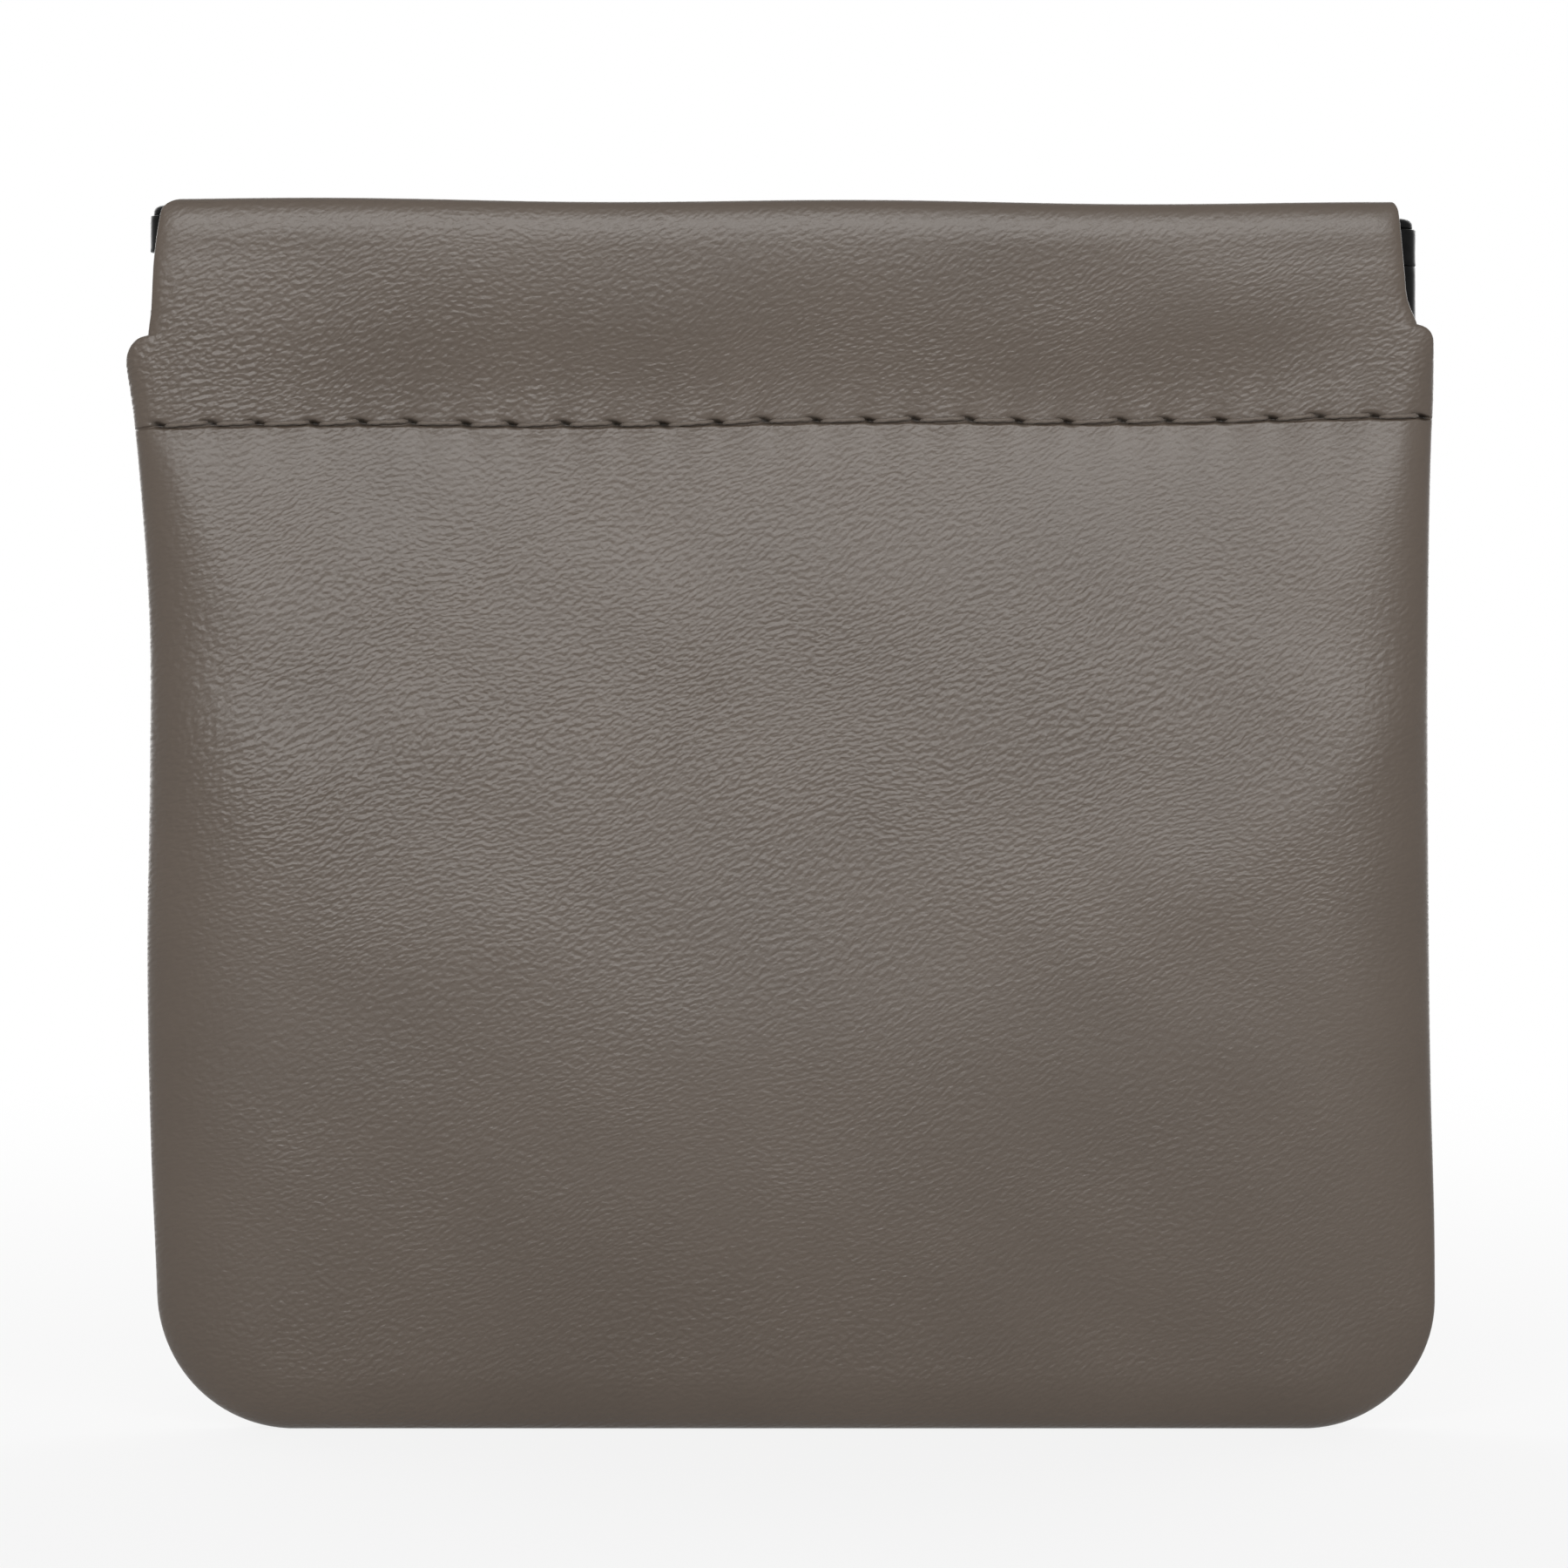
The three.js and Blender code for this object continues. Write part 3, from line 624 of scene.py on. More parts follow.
def hide_layout(grid, rim):
    """Place of each point on the flat hide, across it and along it from the bottom edge."""
    column = grid.outer[:, grid.x.shape[1] // 2]
    arc = np.concatenate([[0], np.cumsum(np.linalg.norm(np.diff(column, axis=0), axis=1))])
    place = np.stack([grid.x, np.broadcast_to(arc[:, None], grid.x.shape)], 2).reshape(-1, 2)
    inward = grid.inward.reshape(-1, 3)[rim][:, (0, 2)]
    lip_place = place[rim] - inward * (LIP_SHARE * LIP_RUN)
    return np.concatenate([place, place, lip_place.reshape(-1, 2)])


def hole_and_crease_shade_share(grid, wall, lip_points):
    """Share of painted shade at each point of a wall: full in the needle holes and a little along the
    crease, where shade falls.
    """
    shade_share = np.maximum(hole(grid.x, grid.z, wall), CREASE_SHADE * crease(grid.x, grid.z) ** 2)
    shade_share = np.where(grid.turn > 0, 0, shade_share).ravel()
    return np.concatenate([shade_share, 0 * shade_share, np.zeros(lip_points)])


def panel_mesh(wall):
    """One wall: grain side, rolled lips along the seam, rolled ends of the casing, and backing."""
    grid = panel_grid(wall)
    inner = panel_inside(grid)
    n, m = grid.x.shape
    outer_ids = np.arange(n * m).reshape(n, m)
    inner_ids = outer_ids + n * m
    rim = np.concatenate([outer_ids[::-1, 0], outer_ids[0, 1:-1], outer_ids[:, -1]])
    lip = panel_lip(grid, inner, rim)
    lip_points = lip.shape[0] * lip.shape[1]
    lip_ids = 2 * n * m + np.arange(lip_points).reshape(lip.shape[:2])
    strip = np.concatenate([rim[None], lip_ids, inner_ids.ravel()[rim][None]])[::-1]

    points = np.concatenate([part.reshape(-1, 3) for part in (grid.outer, inner, lip)])
    hem_end = np.stack([outer_ids[-1], inner_ids[-1]])
    grain = [grid_faces(outer_ids), grid_faces(strip)]
    backing = [grid_faces(inner_ids)[:, ::-1], grid_faces(hem_end)]
    faces = np.concatenate(grain + backing)
    slots = np.repeat((0, 1), (sum(map(len, grain)), sum(map(len, backing))))
    points[:, 1] *= -wall
    if wall == BACK:
        faces = faces[:, ::-1]
    return points, faces, slots, hide_layout(grid, rim), hole_and_crease_shade_share(grid, wall, lip_points)


def vertex_normals(points, faces):
    a, b, c, d = (points[faces[:, k]] for k in range(4))
    face = np.cross(c - a, d - b)
    total = np.zeros_like(points)
    for k in range(4):
        np.add.at(total, faces[:, k], face)
    return total / np.maximum(np.linalg.norm(total, axis=1, keepdims=True), 1e-12)


def add_piece(name, points, faces, materials, slots=None, normals=None, places=None, painted_shade=None):
    """A named mesh object from points in millimetres."""
    mesh = bpy.data.meshes.new(name)
    mesh.from_pydata((np.asarray(points) * MM).tolist(), [], [list(map(int, f)) for f in faces])
    for material in materials:
        mesh.materials.append(material)
    if slots is not None:
        mesh.polygons.foreach_set("material_index", np.asarray(slots, np.int32))
    mesh.polygons.foreach_set("use_smooth", np.ones(len(mesh.polygons), bool))
    if places is not None:
        corners = np.zeros(len(mesh.loops), np.int32)
        mesh.loops.foreach_get("vertex_index", corners)
        layer = mesh.uv_layers.new(name="hide")
        share = places[corners] / HIDE_SIZE + 0.5
        layer.uv.foreach_set("vector", share.astype(np.float32).ravel())
    # Share of painted shade in the needle holes and along the crease.
    if painted_shade is not None:
        layer = mesh.attributes.new("painted_hole_and_crease_shade", "FLOAT", "POINT")
        layer.data.foreach_set("value", painted_shade.astype(np.float32))
    mesh.validate()
    if normals is not None:
        mesh.normals_split_custom_set_from_vertices(normals.tolist())
    piece = bpy.data.objects.new(name, mesh)
    bpy.context.scene.collection.objects.link(piece)
    return piece


def bend_with_frame(piece, wall, side):
    """Reads the flex joint of the piece's wall and side, and bakes the piece's placement into its mesh."""
    joint = joints[f"{WALL_NAME[wall]}_{SIDE_NAME[side]}_flex"]
    along = Vector(joint["axis"])
    along *= math.copysign(1, along.z)
    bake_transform(piece)


def stands_for(piece, wall, side, kind):
    """Half of a wall, strip or thread in place of its flank and center nodes, which it hides."""
    nodes = [f"{WALL_NAME[wall]}_{kind}_{place}" for place in (SIDE_NAME[side], "center")]
    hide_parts(*nodes)
    bend_with_frame(piece, wall, side)


def make_panel(wall, materials):
    """The two halves of one wall, which meet at the middle with one smooth surface."""
    points, faces, slots, places, painted_shade = panel_mesh(wall)
    normals = vertex_normals(points, faces)
    face_x = points[faces, 0].mean(1)
    for side in (LEFT, RIGHT):
        own = face_x * side > 0
        used, back = np.unique(faces[own], return_inverse=True)
        half_faces = back.reshape(-1, 4)
        name = f"leather_{WALL_NAME[wall]}_{SIDE_NAME[side]}"
        piece = add_piece(
            name,
            points[used],
            half_faces,
            materials,
            slots=slots[own],
            normals=normals[used],
            places=places[used],
            painted_shade=painted_shade[used],
        )
        stands_for(piece, wall, side, "panel")


def tube(path, radius, sides=10, twist=0.0):
    """A thread along a path, with closed ends; twist winds its two plies."""
    path = np.asarray(path, float)
    ahead = np.gradient(path, axis=0)
    ahead /= np.linalg.norm(ahead, axis=1, keepdims=True)
    run = np.concatenate([[0], np.cumsum(np.linalg.norm(np.diff(path, axis=0), axis=1))])
    up = np.array([0.0, 0.3, 1.0])
    across = np.cross(ahead, up)
    across /= np.linalg.norm(across, axis=1, keepdims=True)
    upward = np.cross(across, ahead)
    angle = np.linspace(0, 2 * math.pi, sides, endpoint=False)
    ply = np.ones((len(path), sides))
    if twist:
        ply = 1 + PLY_DEPTH * np.cos(2 * (angle[None] - twist * run[:, None]))
    ring = (radius * ply)[..., None] * (
        np.cos(angle)[None, :, None] * across[:, None] + np.sin(angle)[None, :, None] * upward[:, None]
    )
    points = (path[:, None] + ring).reshape(-1, 3)
    ids = np.arange(len(path) * sides).reshape(len(path), sides)
    looped = np.concatenate([ids, ids[:, :1]], 1)
    faces = grid_faces(looped).tolist() + [ids[0][::-1].tolist(), ids[-1].tolist()]
    return points, faces


def joined(parts):
    """One mesh from several, as points and faces."""
    points, faces, count = [], [], 0
    for part_points, part_faces in parts:
        points.append(np.asarray(part_points))
        faces += [[k + count for k in face] for face in part_faces]
        count += len(part_points)
    return np.concatenate(points), faces


def hem_stitch(k, wall):
    """One stitch between two needle holes, lying just above the crease and diving into both holes."""
    t = np.linspace(0, 1, STITCH_STEPS)
    (start_x, start_z), (end_x, end_z) = hole_place(k), hole_place(k + 1)
    x = mix(start_x + HOLE_SIZE[0] / 2, end_x - HOLE_SIZE[0] / 2, t)
    slope = STITCH_SLOPE * -wall
    z = mix(start_z - slope, end_z + slope, t)
    lift = STITCH_LIFT - STITCH_DIVE * (1 - smoothstep(np.minimum(t, 1 - t), 0, STITCH_TURN))
    depth = panel_depth(x, z, 0 * t, wall) + lift
    path = np.stack([x, depth * wall, settle(x, z)], 1)
    return tube(path, THREAD_RADIUS, twist=THREAD_TWIST)


def make_hem_stitches(wall, material):
    for side in (LEFT, RIGHT):
        middles = HOLE_START + HOLE_PITCH * (np.arange(HOLES - 1) + 0.5)
        own = [k for k in range(HOLES - 1) if middles[k] * side > 0]
        points, faces = joined([hem_stitch(k, wall) for k in own])
        name = f"hem_thread_{WALL_NAME[wall]}_{SIDE_NAME[side]}"
        piece = add_piece(name, points, faces, [material])
        stands_for(piece, wall, side, "hem_thread")


def ribbon(path, low, high, thickness, camber=None):
    """A flat metal strip on edge along a path seen from above, with eased edges."""
    path = np.asarray(path, float)
    ahead = np.gradient(path, axis=0)
    ahead /= np.linalg.norm(ahead, axis=1, keepdims=True)
    across = np.stack([ahead[:, 1], -ahead[:, 0]], 1)
    half, ease = thickness / 2, thickness * STRIP_EASE
    heights = np.linspace(low + ease, high - ease, STRIP_ROWS)
    section = [(half, h) for h in heights] + [(half - ease, high), (ease - half, high)]
    section += [(-half, h) for h in heights[::-1]] + [(ease - half, low), (half - ease, low)]
    section = np.array(section)
    bulge = np.zeros((len(path), len(section)))
    if camber is not None:
        arch = 1 - (2 * (section[:, 1] - (low + high) / 2) / (high - low)) ** 2
        bulge = camber[:, None] * arch[None]
    offset = section[None, :, 0] + bulge
    flat = path[:, None] + across[:, None] * offset[..., None]
    height = np.broadcast_to(section[None, :, 1], offset.shape)
    points = np.concatenate([flat, height[..., None]], 2).reshape(-1, 3)
    ids = np.arange(len(path) * len(section)).reshape(len(path), len(section))
    looped = np.concatenate([ids, ids[:, :1]], 1)
    faces = grid_faces(looped)[:, ::-1].tolist() + [ids[0].tolist(), ids[-1][::-1].tolist()]
    return points, faces


def frame_lean(x):
    """Rise of the spring frame, which sits a little higher at the left."""
    return FRAME_RISE - FRAME_LEAN * x / PIN_X


def knuckle_path(side, wall):
    """Strip end that runs to the pin and rolls round it, with the play of the back strip on the pin."""
    radius = STRIP_MIDDLE
    angle = np.linspace(-math.pi / 2, KNUCKLE_TURN, KNUCKLE_STEPS)
    x = np.concatenate([KNUCKLE_LEAD, radius * np.cos(angle)])
    depth = np.concatenate([[radius] * len(KNUCKLE_LEAD), -radius * np.sin(angle)])
    play = HINGE_PLAY[side] if wall == BACK else 0
    return np.stack([HINGE_X[side] + (x - play) * side, depth * wall], 1)


def make_spring(wall, material):
    """Cambered spring strip in two halves, with its rolled knuckles: two in front, one behind."""
    low_end, high_start = STRIP_LOW + TOP_KNUCKLE, STRIP_HIGH - TOP_KNUCKLE
    knuckles = [(STRIP_LOW, low_end), (high_start, STRIP_HIGH)]
    if wall == BACK:
        knuckles = [(low_end + KNUCKLE_GAP, high_start - KNUCKLE_GAP)]
    for side in (LEFT, RIGHT):
        x = np.linspace(0, STRIP_END, STRIP_STEPS)
        path = np.stack([x * side, np.full(len(x), STRIP_MIDDLE * wall)], 1)
        camber = STRIP_CAMBER * smoothstep(STRIP_END - x, 0, CAMBER_EASE)
        parts = [ribbon(path, STRIP_LOW, STRIP_HIGH, STRIP_THICKNESS, camber * side * wall * -1)]
        for low, high in knuckles:
            parts.append(ribbon(knuckle_path(side, wall), low, high, STRIP_THICKNESS))
        points, faces = joined(parts)
        points[:, 2] += frame_lean(points[:, 0])
        if side * wall > 0:
            faces = [face[::-1] for face in faces]
        name = f"spring_{WALL_NAME[wall]}_{SIDE_NAME[side]}"
        piece = add_piece(name, points, faces, [material])
        stands_for(piece, wall, side, "spring")


def lathe(profile, centre, sides=28):
    """A piece turned about an upright axis, from (radius, height) points, with both ends on the axis."""
    angle = np.linspace(0, 2 * math.pi, sides, endpoint=False)
    radius, height = np.array(profile[1:-1], float).T
    x = centre[0] + radius[:, None] * np.cos(angle)
    y = centre[1] + radius[:, None] * np.sin(angle)
    points = np.stack([x, y, np.broadcast_to(height[:, None], x.shape)], 2).reshape(-1, 3)
    ids = np.arange(len(points)).reshape(len(radius), sides)
    looped = np.concatenate([ids, ids[:, :1]], 1)
    tips = [[centre[0], centre[1], profile[0][1]], [centre[0], centre[1], profile[-1][1]]]
    low, high = len(points), len(points) + 1
    faces = grid_faces(looped).tolist()
    faces += [[low, b, a] for a, b in zip(looped[0], looped[0][1:])]
    faces += [[high, a, b] for a, b in zip(looped[-1], looped[-1][1:])]
    return np.concatenate([points, tips]), faces


def make_pin(side, material):
    """Hinge pin with a domed head at both ends."""
    low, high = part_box(f"{SIDE_NAME[side]}_hinge_pin")
    low, high = low.z / MM, high.z / MM
    foot = [(r, low + h) for r, h in PIN_HEAD] + [(PIN_RADIUS, low + PIN_HEAD_HEIGHT)]
    top = [(PIN_RADIUS, high - PIN_HEAD_HEIGHT)] + [(r, high - h) for r, h in PIN_HEAD[::-1]]
    points, faces = lathe(foot + top, (HINGE_X[side], HINGE_PLAY[side] / 2))
    points[:, 2] += frame_lean(HINGE_X[side])
    piece = add_piece(f"hinge_pin_{SIDE_NAME[side]}", points, faces, [material])
    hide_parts(f"{SIDE_NAME[side]}_hinge_pin")
    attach(piece, f"front_{SIDE_NAME[side]}")


def make_side_seam_thread(side, material):
    """Stitches of the side seam, which cross it behind the lips."""
    parts = []
    t = np.linspace(0, 1, 9)
    x = side * (PIN_X - SEAM_STITCH_INSET + SEAM_STITCH_BOW * np.sin(math.pi * t))
    y = mix(-SEAM_STITCH_REACH, SEAM_STITCH_REACH, t)
    slant = mix(-SEAM_STITCH_SLANT, SEAM_STITCH_SLANT, t)
    for z in np.arange(SEAM_STITCH_START, SEAM_TOP, SEAM_STITCH_PITCH):
        path = np.stack([x, y, z + slant], 1)
        parts.append(tube(path, SEAM_THREAD_RADIUS, sides=8))
    points, faces = joined(parts)
    piece = add_piece(f"seam_thread_{SIDE_NAME[side]}", points, faces, [material])
    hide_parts(f"{SIDE_NAME[side]}_seam_thread")
    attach(piece, f"front_{SIDE_NAME[side]}")


def bottom_run():
    """Ends of the straight bottom edge, between its rounded corners."""
    left, right = (abs(side_edge[side](0)) - BOTTOM_CORNER[side] for side in (LEFT, RIGHT))
    return -left, right


def make_bottom_plies(material):
    """Sewn plies between the two lips of the bottom edge."""
    x = np.linspace(*bottom_run(), PLY_STEPS)
    section = np.array(PLY_SECTION + tuple((-y, z) for y, z in PLY_SECTION[::-1]))
    shape = (len(x), len(section))
    y = np.broadcast_to(section[:, 0], shape) + PLY_SWAY_Y[0] * np.sin(x / PLY_SWAY_Y[1])[:, None]
    z = np.broadcast_to(section[:, 1], shape) + PLY_SWAY_Z[0] * np.sin(x / PLY_SWAY_Z[1])[:, None]
    points = np.stack([np.broadcast_to(x[:, None], shape), y, z], 2).reshape(-1, 3)
    ids = np.arange(len(points)).reshape(shape)
    looped = np.concatenate([ids, ids[:, :1]], 1)
    faces = grid_faces(looped)[:, ::-1].tolist() + [ids[0].tolist(), ids[-1][::-1].tolist()]
    piece = add_piece("bottom_seam_plies", points, faces, [material], places=points[:, (0, 2)])
    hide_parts("bottom_seam")
    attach(piece, "bottom")


def make_bottom_stitches(material):
    """Stitches along the plies of the bottom edge, each diving in at both ends."""
    left, right = bottom_run()
    first, last = left + BOTTOM_STITCH_MARGIN[0], right - BOTTOM_STITCH_MARGIN[1]
    t = np.linspace(0, 1, 11)
    turn = 1 - smoothstep(np.minimum(t, 1 - t), 0, BOTTOM_STITCH_TURN)
    z = BOTTOM_STITCH_Z + BOTTOM_STITCH_DIVE * turn
    parts = []
    for k in range(BOTTOM_STITCHES):
        start = mix(first, last, k / (BOTTOM_STITCHES - 1))
        path = np.stack([start + mix(0, BOTTOM_STITCH_LENGTH, t), 0 * t, z], 1)
        parts.append(tube(path, BOTTOM_THREAD_RADIUS, sides=8))
    points, faces = joined(parts)
    piece = add_piece("bottom_seam_stitches", points, faces, [material])
    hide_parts("bottom_seam_thread")
    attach(piece, "bottom")


def new_material(name):
    material = bpy.data.materials.new(name)
    material.use_nodes = True
    nodes, links = material.node_tree.nodes, material.node_tree.links
    return material, nodes, links, nodes["Principled BSDF"]


def math_node(nodes, links, operation, first, second):
    node = nodes.new("ShaderNodeMath")
    node.operation = operation
    for socket, value in zip(node.inputs, (first, second)):
        if isinstance(value, (int, float)):
            socket.default_value = value
        else:
            links.new(value, socket)
    return node.outputs[0]


def scaled_node(nodes, links, value, factor, offset):
    """The value times a factor, plus an offset."""
    result = math_node(nodes, links, "MULTIPLY_ADD", value, factor)
    result.node.inputs[2].default_value = offset
    return result


def noise_node(nodes, links, where, scale, detail, roughness=0.5, distortion=0.0):
    node = nodes.new("ShaderNodeTexNoise")
    node.inputs["Scale"].default_value = scale
    node.inputs["Detail"].default_value = detail
    node.inputs["Roughness"].default_value = roughness
    node.inputs["Distortion"].default_value = distortion
    links.new(where, node.inputs["Vector"])
    return node.outputs["Fac"]


def ramp_node(nodes, links, value, stops):
    node = nodes.new("ShaderNodeValToRGB")
    ramp = node.color_ramp
    while len(ramp.elements) < len(stops):
        ramp.elements.new(0.5)
    for element, (place, colour) in zip(ramp.elements, stops):
        element.position = place
        element.color = (*colour, 1)
    links.new(value, node.inputs["Fac"])
    return node.outputs["Color"]


def bump_node(nodes, links, height, distance, strength, under=None):
    node = nodes.new("ShaderNodeBump")
    node.inputs["Distance"].default_value = distance
    node.inputs["Strength"].default_value = strength
    links.new(height, node.inputs["Height"])
    if under is not None:
        links.new(under, node.inputs["Normal"])
    return node.outputs["Normal"]


def hide_places(nodes, links):
    """Place on the hide in millimetres: whole, across, up, and slanted along the grain."""
    uv = nodes.new("ShaderNodeUVMap")
    uv.uv_map = "hide"
    scaled = nodes.new("ShaderNodeVectorMath")
    scaled.operation = "SCALE"
    scaled.inputs["Scale"].default_value = HIDE_SIZE
    links.new(uv.outputs["UV"], scaled.inputs[0])
    hide = scaled.outputs[0]
    split = nodes.new("ShaderNodeSeparateXYZ")
    links.new(hide, split.inputs[0])
    x = math_node(nodes, links, "SUBTRACT", split.outputs["X"], HIDE_SIZE / 2)
    z = math_node(nodes, links, "SUBTRACT", split.outputs["Y"], HIDE_SIZE / 2)
    slope = math_node(nodes, links, "MULTIPLY", x, GRAIN_FAN)
    slope = math_node(nodes, links, "ADD", slope, GRAIN_SLOPE)
    slant = math_node(nodes, links, "MULTIPLY", slope, x)
    drift = noise_node(nodes, links, hide, scale=0.05, detail=1)
    drift = math_node(nodes, links, "MULTIPLY", drift, GRAIN_DRIFT)
    level = math_node(nodes, links, "SUBTRACT", math_node(nodes, links, "ADD", z, drift), slant)
    grain = nodes.new("ShaderNodeCombineXYZ")
    links.new(math_node(nodes, links, "MULTIPLY", x, GRAIN_LENGTH), grain.inputs["X"])
    links.new(level, grain.inputs["Y"])
    return hide, x, z, grain.outputs[0]


def leather_colour(nodes, links, hide):
    """Clouded taupe, with painted shade: dark in the needle holes and a little darker along the crease."""
    cloud = noise_node(nodes, links, hide, scale=0.055, detail=4, roughness=0.55)
    fleck = noise_node(nodes, links, hide, scale=1.6, detail=3, roughness=0.6)
    tone = math_node(nodes, links, "MULTIPLY", fleck, FLECK_SHARE)
    tone = math_node(nodes, links, "ADD", tone, cloud)
    colour = ramp_node(nodes, links, tone, TAUPE)
    # Painted shade: the leather colour is mixed towards near black in the needle holes and along the
    # crease.
    painted_shade_node = nodes.new("ShaderNodeAttribute")
    painted_shade_node.attribute_name = "painted_hole_and_crease_shade"
    shade = nodes.new("ShaderNodeMix")
    shade.data_type = "RGBA"
    links.new(painted_shade_node.outputs["Fac"], shade.inputs["Factor"])
    links.new(colour, shade.inputs["A"])
    shade.inputs["B"].default_value = PAINTED_HOLE_SHADE
    return shade.outputs["Result"]


def leather_relief(nodes, links):
    """Place on the hide, and the height of its wrinkled grain, which is uneven."""
    hide, x, height, grain = hide_places(nodes, links)
    wrinkle = noise_node(nodes, links, grain, scale=3.1, detail=0.4, roughness=0.45, distortion=0.25)
    stretch = noise_node(nodes, links, hide, scale=0.08, detail=2)
    stretch = ramp_node(nodes, links, stretch, [(place, (size,) * 3) for place, size in GRAIN_STRETCH])
    band = math_node(nodes, links, "MULTIPLY", height, 0.01)
    band = ramp_node(nodes, links, band, [(place, (size,) * 3) for place, size in GRAIN_BANDS])
    depth = math_node(nodes, links, "MULTIPLY", stretch, band)
    across = scaled_node(nodes, links, x, GRAIN_FADE, 1)
    depth = math_node(nodes, links, "MULTIPLY", depth, across)
    return hide, math_node(nodes, links, "MULTIPLY", wrinkle, depth)


def leather_material():
    """Taupe leatherette with a fine wrinkled grain, slightly uneven in tone and sheen."""
    material, nodes, links, surface = new_material("taupe_leatherette")
    hide, relief = leather_relief(nodes, links)
    links.new(leather_colour(nodes, links, hide), surface.inputs["Base Color"])
    fine = noise_node(nodes, links, hide, scale=6, detail=2, roughness=0.6)
    links.new(scaled_node(nodes, links, fine, 0.1, 0.34), surface.inputs["Roughness"])
    normal = bump_node(nodes, links, relief, distance=GRAIN_DEPTH, strength=1)
    normal = bump_node(nodes, links, fine, distance=PORE_DEPTH, strength=1, under=normal)
    links.new(normal, surface.inputs["Normal"])
    surface.inputs["Specular IOR Level"].default_value = 0.42
    return material


def backing_material():
    """Grey-brown knitted backing of the leatherette."""
    material, nodes, links, surface = new_material("knit_backing")
    hide = hide_places(nodes, links)[0]
    weave = nodes.new("ShaderNodeTexWave")
    weave.inputs["Scale"].default_value = 0.55
    weave.inputs["Distortion"].default_value = 2.5
    weave.inputs["Detail"].default_value = 2
    links.new(hide, weave.inputs["Vector"])
    colour = ramp_node(nodes, links, weave.outputs["Fac"], KNIT)
    links.new(colour, surface.inputs["Base Color"])
    normal = bump_node(nodes, links, weave.outputs["Fac"], distance=0.1 * MM, strength=0.7)
    links.new(normal, surface.inputs["Normal"])
    surface.inputs["Roughness"].default_value = 0.9
    surface.inputs["Specular IOR Level"].default_value = 0.2
    return material


def thread_material():
    """Taupe sewing thread in the tone of the leather."""
    material, nodes, links, surface = new_material("sewing_thread")
    where = nodes.new("ShaderNodeTexCoord").outputs["Object"]
    fibre = noise_node(nodes, links, where, scale=9000, detail=3, roughness=0.6)
    links.new(ramp_node(nodes, links, fibre, THREAD), surface.inputs["Base Color"])
    normal = bump_node(nodes, links, fibre, distance=0.04 * MM, strength=0.6)
    links.new(normal, surface.inputs["Normal"])
    surface.inputs["Roughness"].default_value = 0.6
    surface.inputs["Sheen Weight"].default_value = 0.15
    return material


def steel_material():
    """Black-lacquered spring steel with small scuffs."""
    material, nodes, links, surface = new_material("black_spring_steel")
    where = nodes.new("ShaderNodeTexCoord").outputs["Object"]
    scuff = noise_node(nodes, links, where, scale=900, detail=5, roughness=0.65)
    links.new(ramp_node(nodes, links, scuff, LACQUER), surface.inputs["Base Color"])
    links.new(scaled_node(nodes, links, scuff, 0.3, 0.2), surface.inputs["Roughness"])
    normal = bump_node(nodes, links, scuff, distance=0.03 * MM, strength=0.3)
    links.new(normal, surface.inputs["Normal"])
    surface.inputs["Specular IOR Level"].default_value = 0.08
    return material


def seen_ray(nodes, links):
    """1 for the rays in which the background shows: to the camera, in gloss and through clear things."""
    path = nodes.new("ShaderNodeLightPath")
    seen = path.outputs["Is Camera Ray"]
    for kind in ("Is Glossy Ray", "Is Transmission Ray"):
        seen = math_node(nodes, links, "MAXIMUM", seen, path.outputs[kind])
    return seen


def floor_material():
    """Pale floor that shows nearly white, and fully white far off, so that only the shadow marks it."""
    material, nodes, links, surface = new_material("white_floor")
    surface.inputs["Base Color"].default_value = FLOOR_COLOUR
    surface.inputs["Roughness"].default_value = 0.9
    surface.inputs["Specular IOR Level"].default_value = 0.1
    glow = nodes.new("ShaderNodeEmission")
    place = nodes.new("ShaderNodeTexCoord")
    far = nodes.new("ShaderNodeVectorMath")
    far.operation = "LENGTH"
    links.new(place.outputs["Object"], far.inputs[0])
    share = nodes.new("ShaderNodeMapRange")
    for socket, value in FLOOR_WHITE.items():
        share.inputs[socket].default_value = value
    links.new(far.outputs["Value"], share.inputs["Value"])
    white = math_node(nodes, links, "MULTIPLY", share.outputs["Result"], seen_ray(nodes, links))
    both = nodes.new("ShaderNodeMixShader")
    links.new(white, both.inputs["Fac"])
    links.new(surface.outputs[0], both.inputs[1])
    links.new(glow.outputs[0], both.inputs[2])
    links.new(both.outputs[0], nodes["Material Output"].inputs["Surface"])
    return material


def make_floor():
    """A plain sheet far larger than the view."""
    corners = [(x * FLOOR_REACH, y * FLOOR_REACH, 0) for x, y in ((-1, -1), (1, -1), (1, 1), (-1, 1))]
    mesh = bpy.data.meshes.new("floor")
    mesh.from_pydata(corners, [], [(0, 1, 2, 3)])
    mesh.materials.append(floor_material())
    floor = bpy.data.objects.new("floor", mesh)
    bpy.context.scene.collection.objects.link(floor)


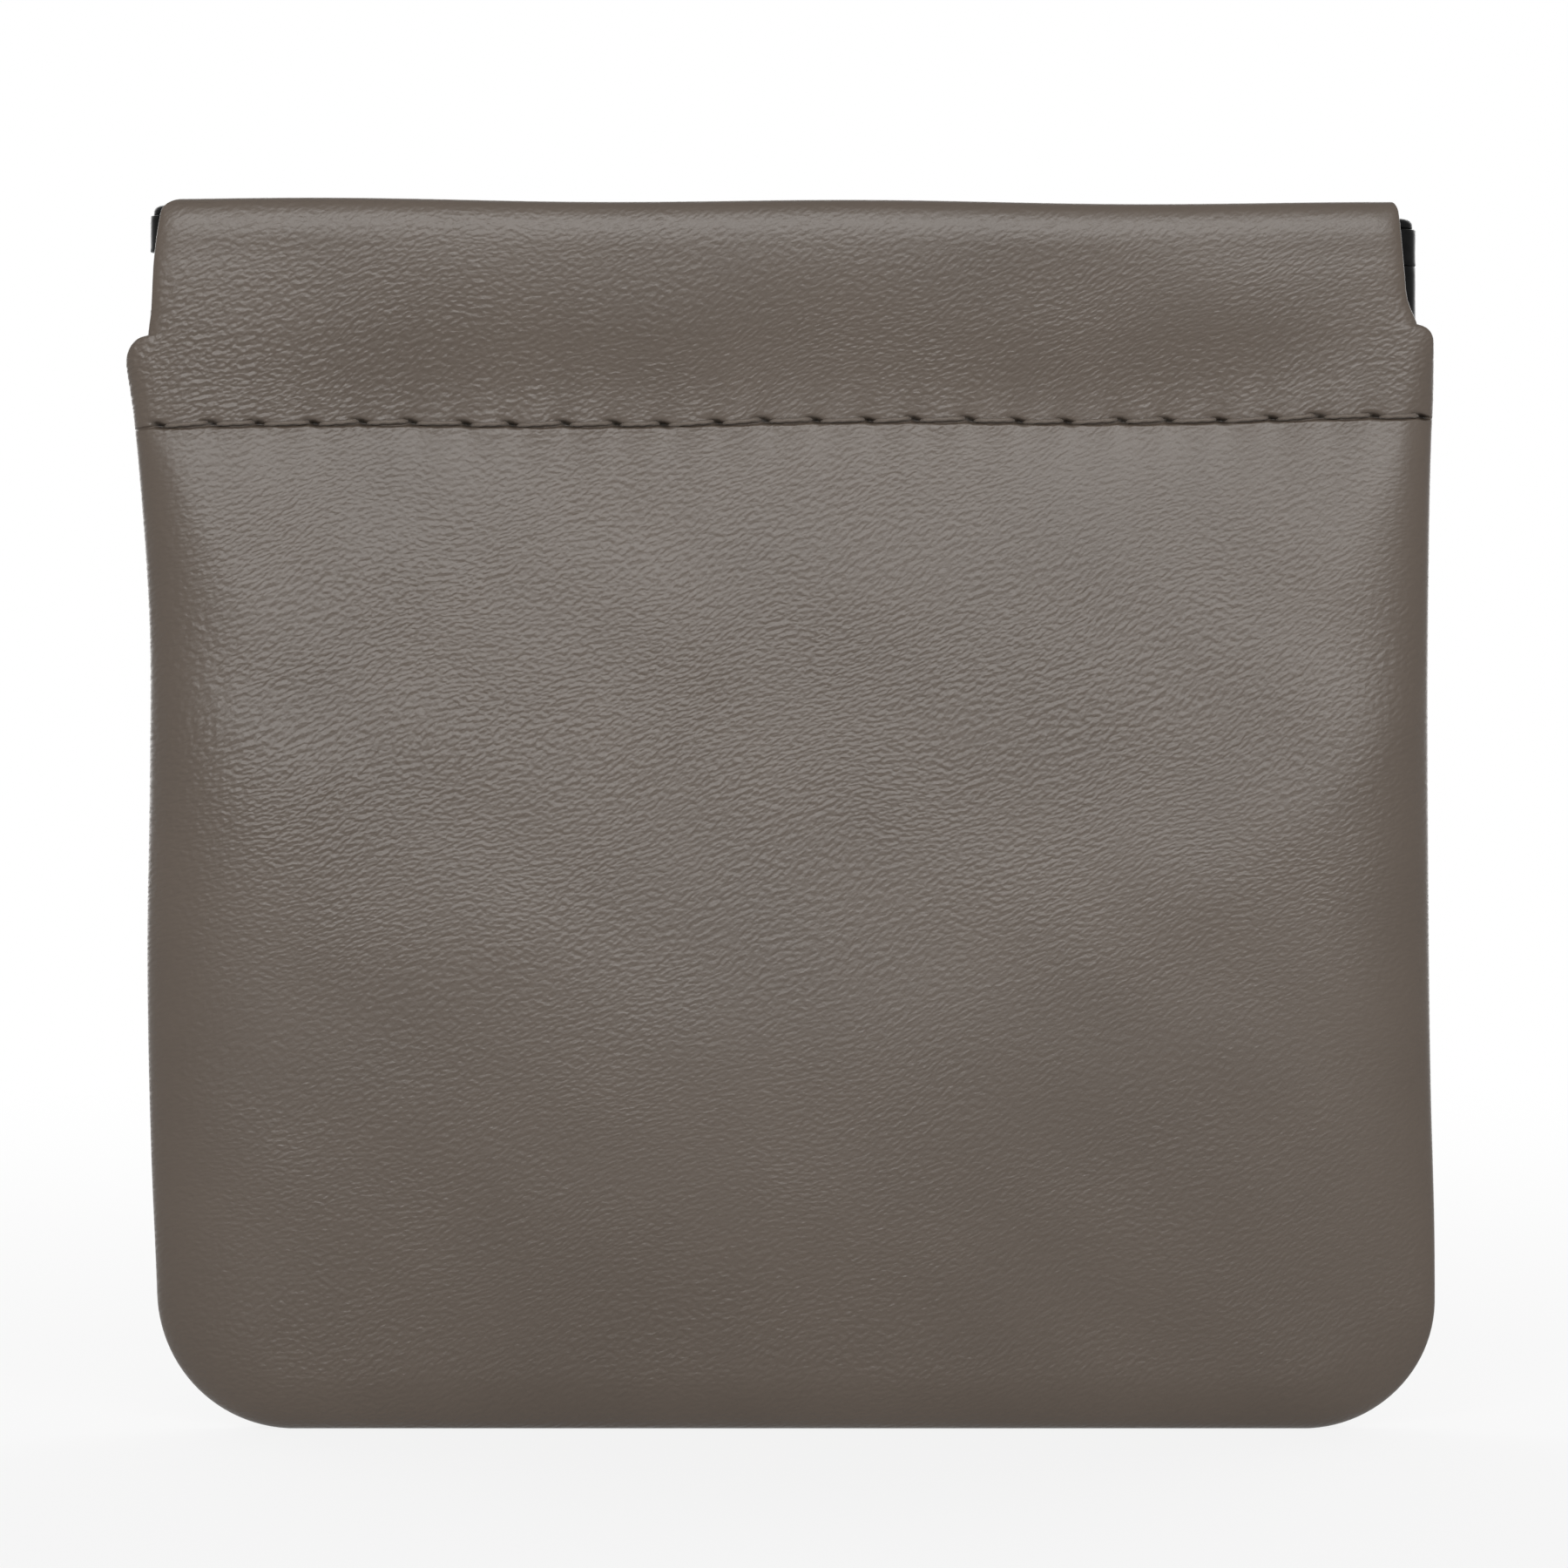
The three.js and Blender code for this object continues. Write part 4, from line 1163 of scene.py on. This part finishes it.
def add_lamp(name, place, size, power):
    lamp = bpy.data.lights.new(name, "AREA")
    lamp.shape = "RECTANGLE"
    lamp.size, lamp.size_y = size
    lamp.energy = power
    light = bpy.data.objects.new(name, lamp)
    light.location = place
    light.rotation_euler = (Vector(LAMP_TARGET) - Vector(place)).to_track_quat("-Z", "Y").to_euler()
    bpy.context.scene.collection.objects.link(light)


def light_studio():
    """Soft lamps in front, behind and at both sides of the back, in an even white room."""
    for name, place, size, power in LAMPS:
        add_lamp(name, place, size, power)
    world = bpy.data.worlds.new("studio")
    world.use_nodes = True
    nodes, links = world.node_tree.nodes, world.node_tree.links
    light = nodes["Background"]
    light.inputs["Color"].default_value = WHITE
    light.inputs["Strength"].default_value = ROOM_LIGHT
    shown = nodes.new("ShaderNodeBackground")
    shown.inputs["Color"].default_value = WHITE
    either = nodes.new("ShaderNodeMixShader")
    links.new(seen_ray(nodes, links), either.inputs["Fac"])
    links.new(light.outputs[0], either.inputs[1])
    links.new(shown.outputs[0], either.inputs[2])
    links.new(either.outputs[0], nodes["World Output"].inputs["Surface"])
    bpy.context.scene.world = world


def make_camera():
    """Level view of the front, framed as the photograph."""
    data = bpy.data.cameras.new("camera")
    data.lens, data.sensor_width = LENS, SENSOR
    camera = bpy.data.objects.new("camera", data)
    away = LENS / SENSOR * FIELD + VIEW_MARGIN
    camera.location = Vector((VIEW_X, -away, VIEW_Z)) * MM
    camera.rotation_euler = (math.pi / 2, 0, 0)
    data.clip_start, data.clip_end = 0.01, 20
    bpy.context.scene.collection.objects.link(camera)
    bpy.context.scene.camera = camera


leather = leather_material()
backing = backing_material()
thread = thread_material()
steel = steel_material()
for wall in (FRONT, BACK):
    make_panel(wall, [leather, backing])
    make_hem_stitches(wall, thread)
    make_spring(wall, steel)
for side in (LEFT, RIGHT):
    make_pin(side, steel)
    make_side_seam_thread(side, thread)
make_bottom_plies(leather)
make_bottom_stitches(thread)
make_floor()
light_studio()
make_camera()
bpy.context.scene.view_settings.view_transform = "Standard"
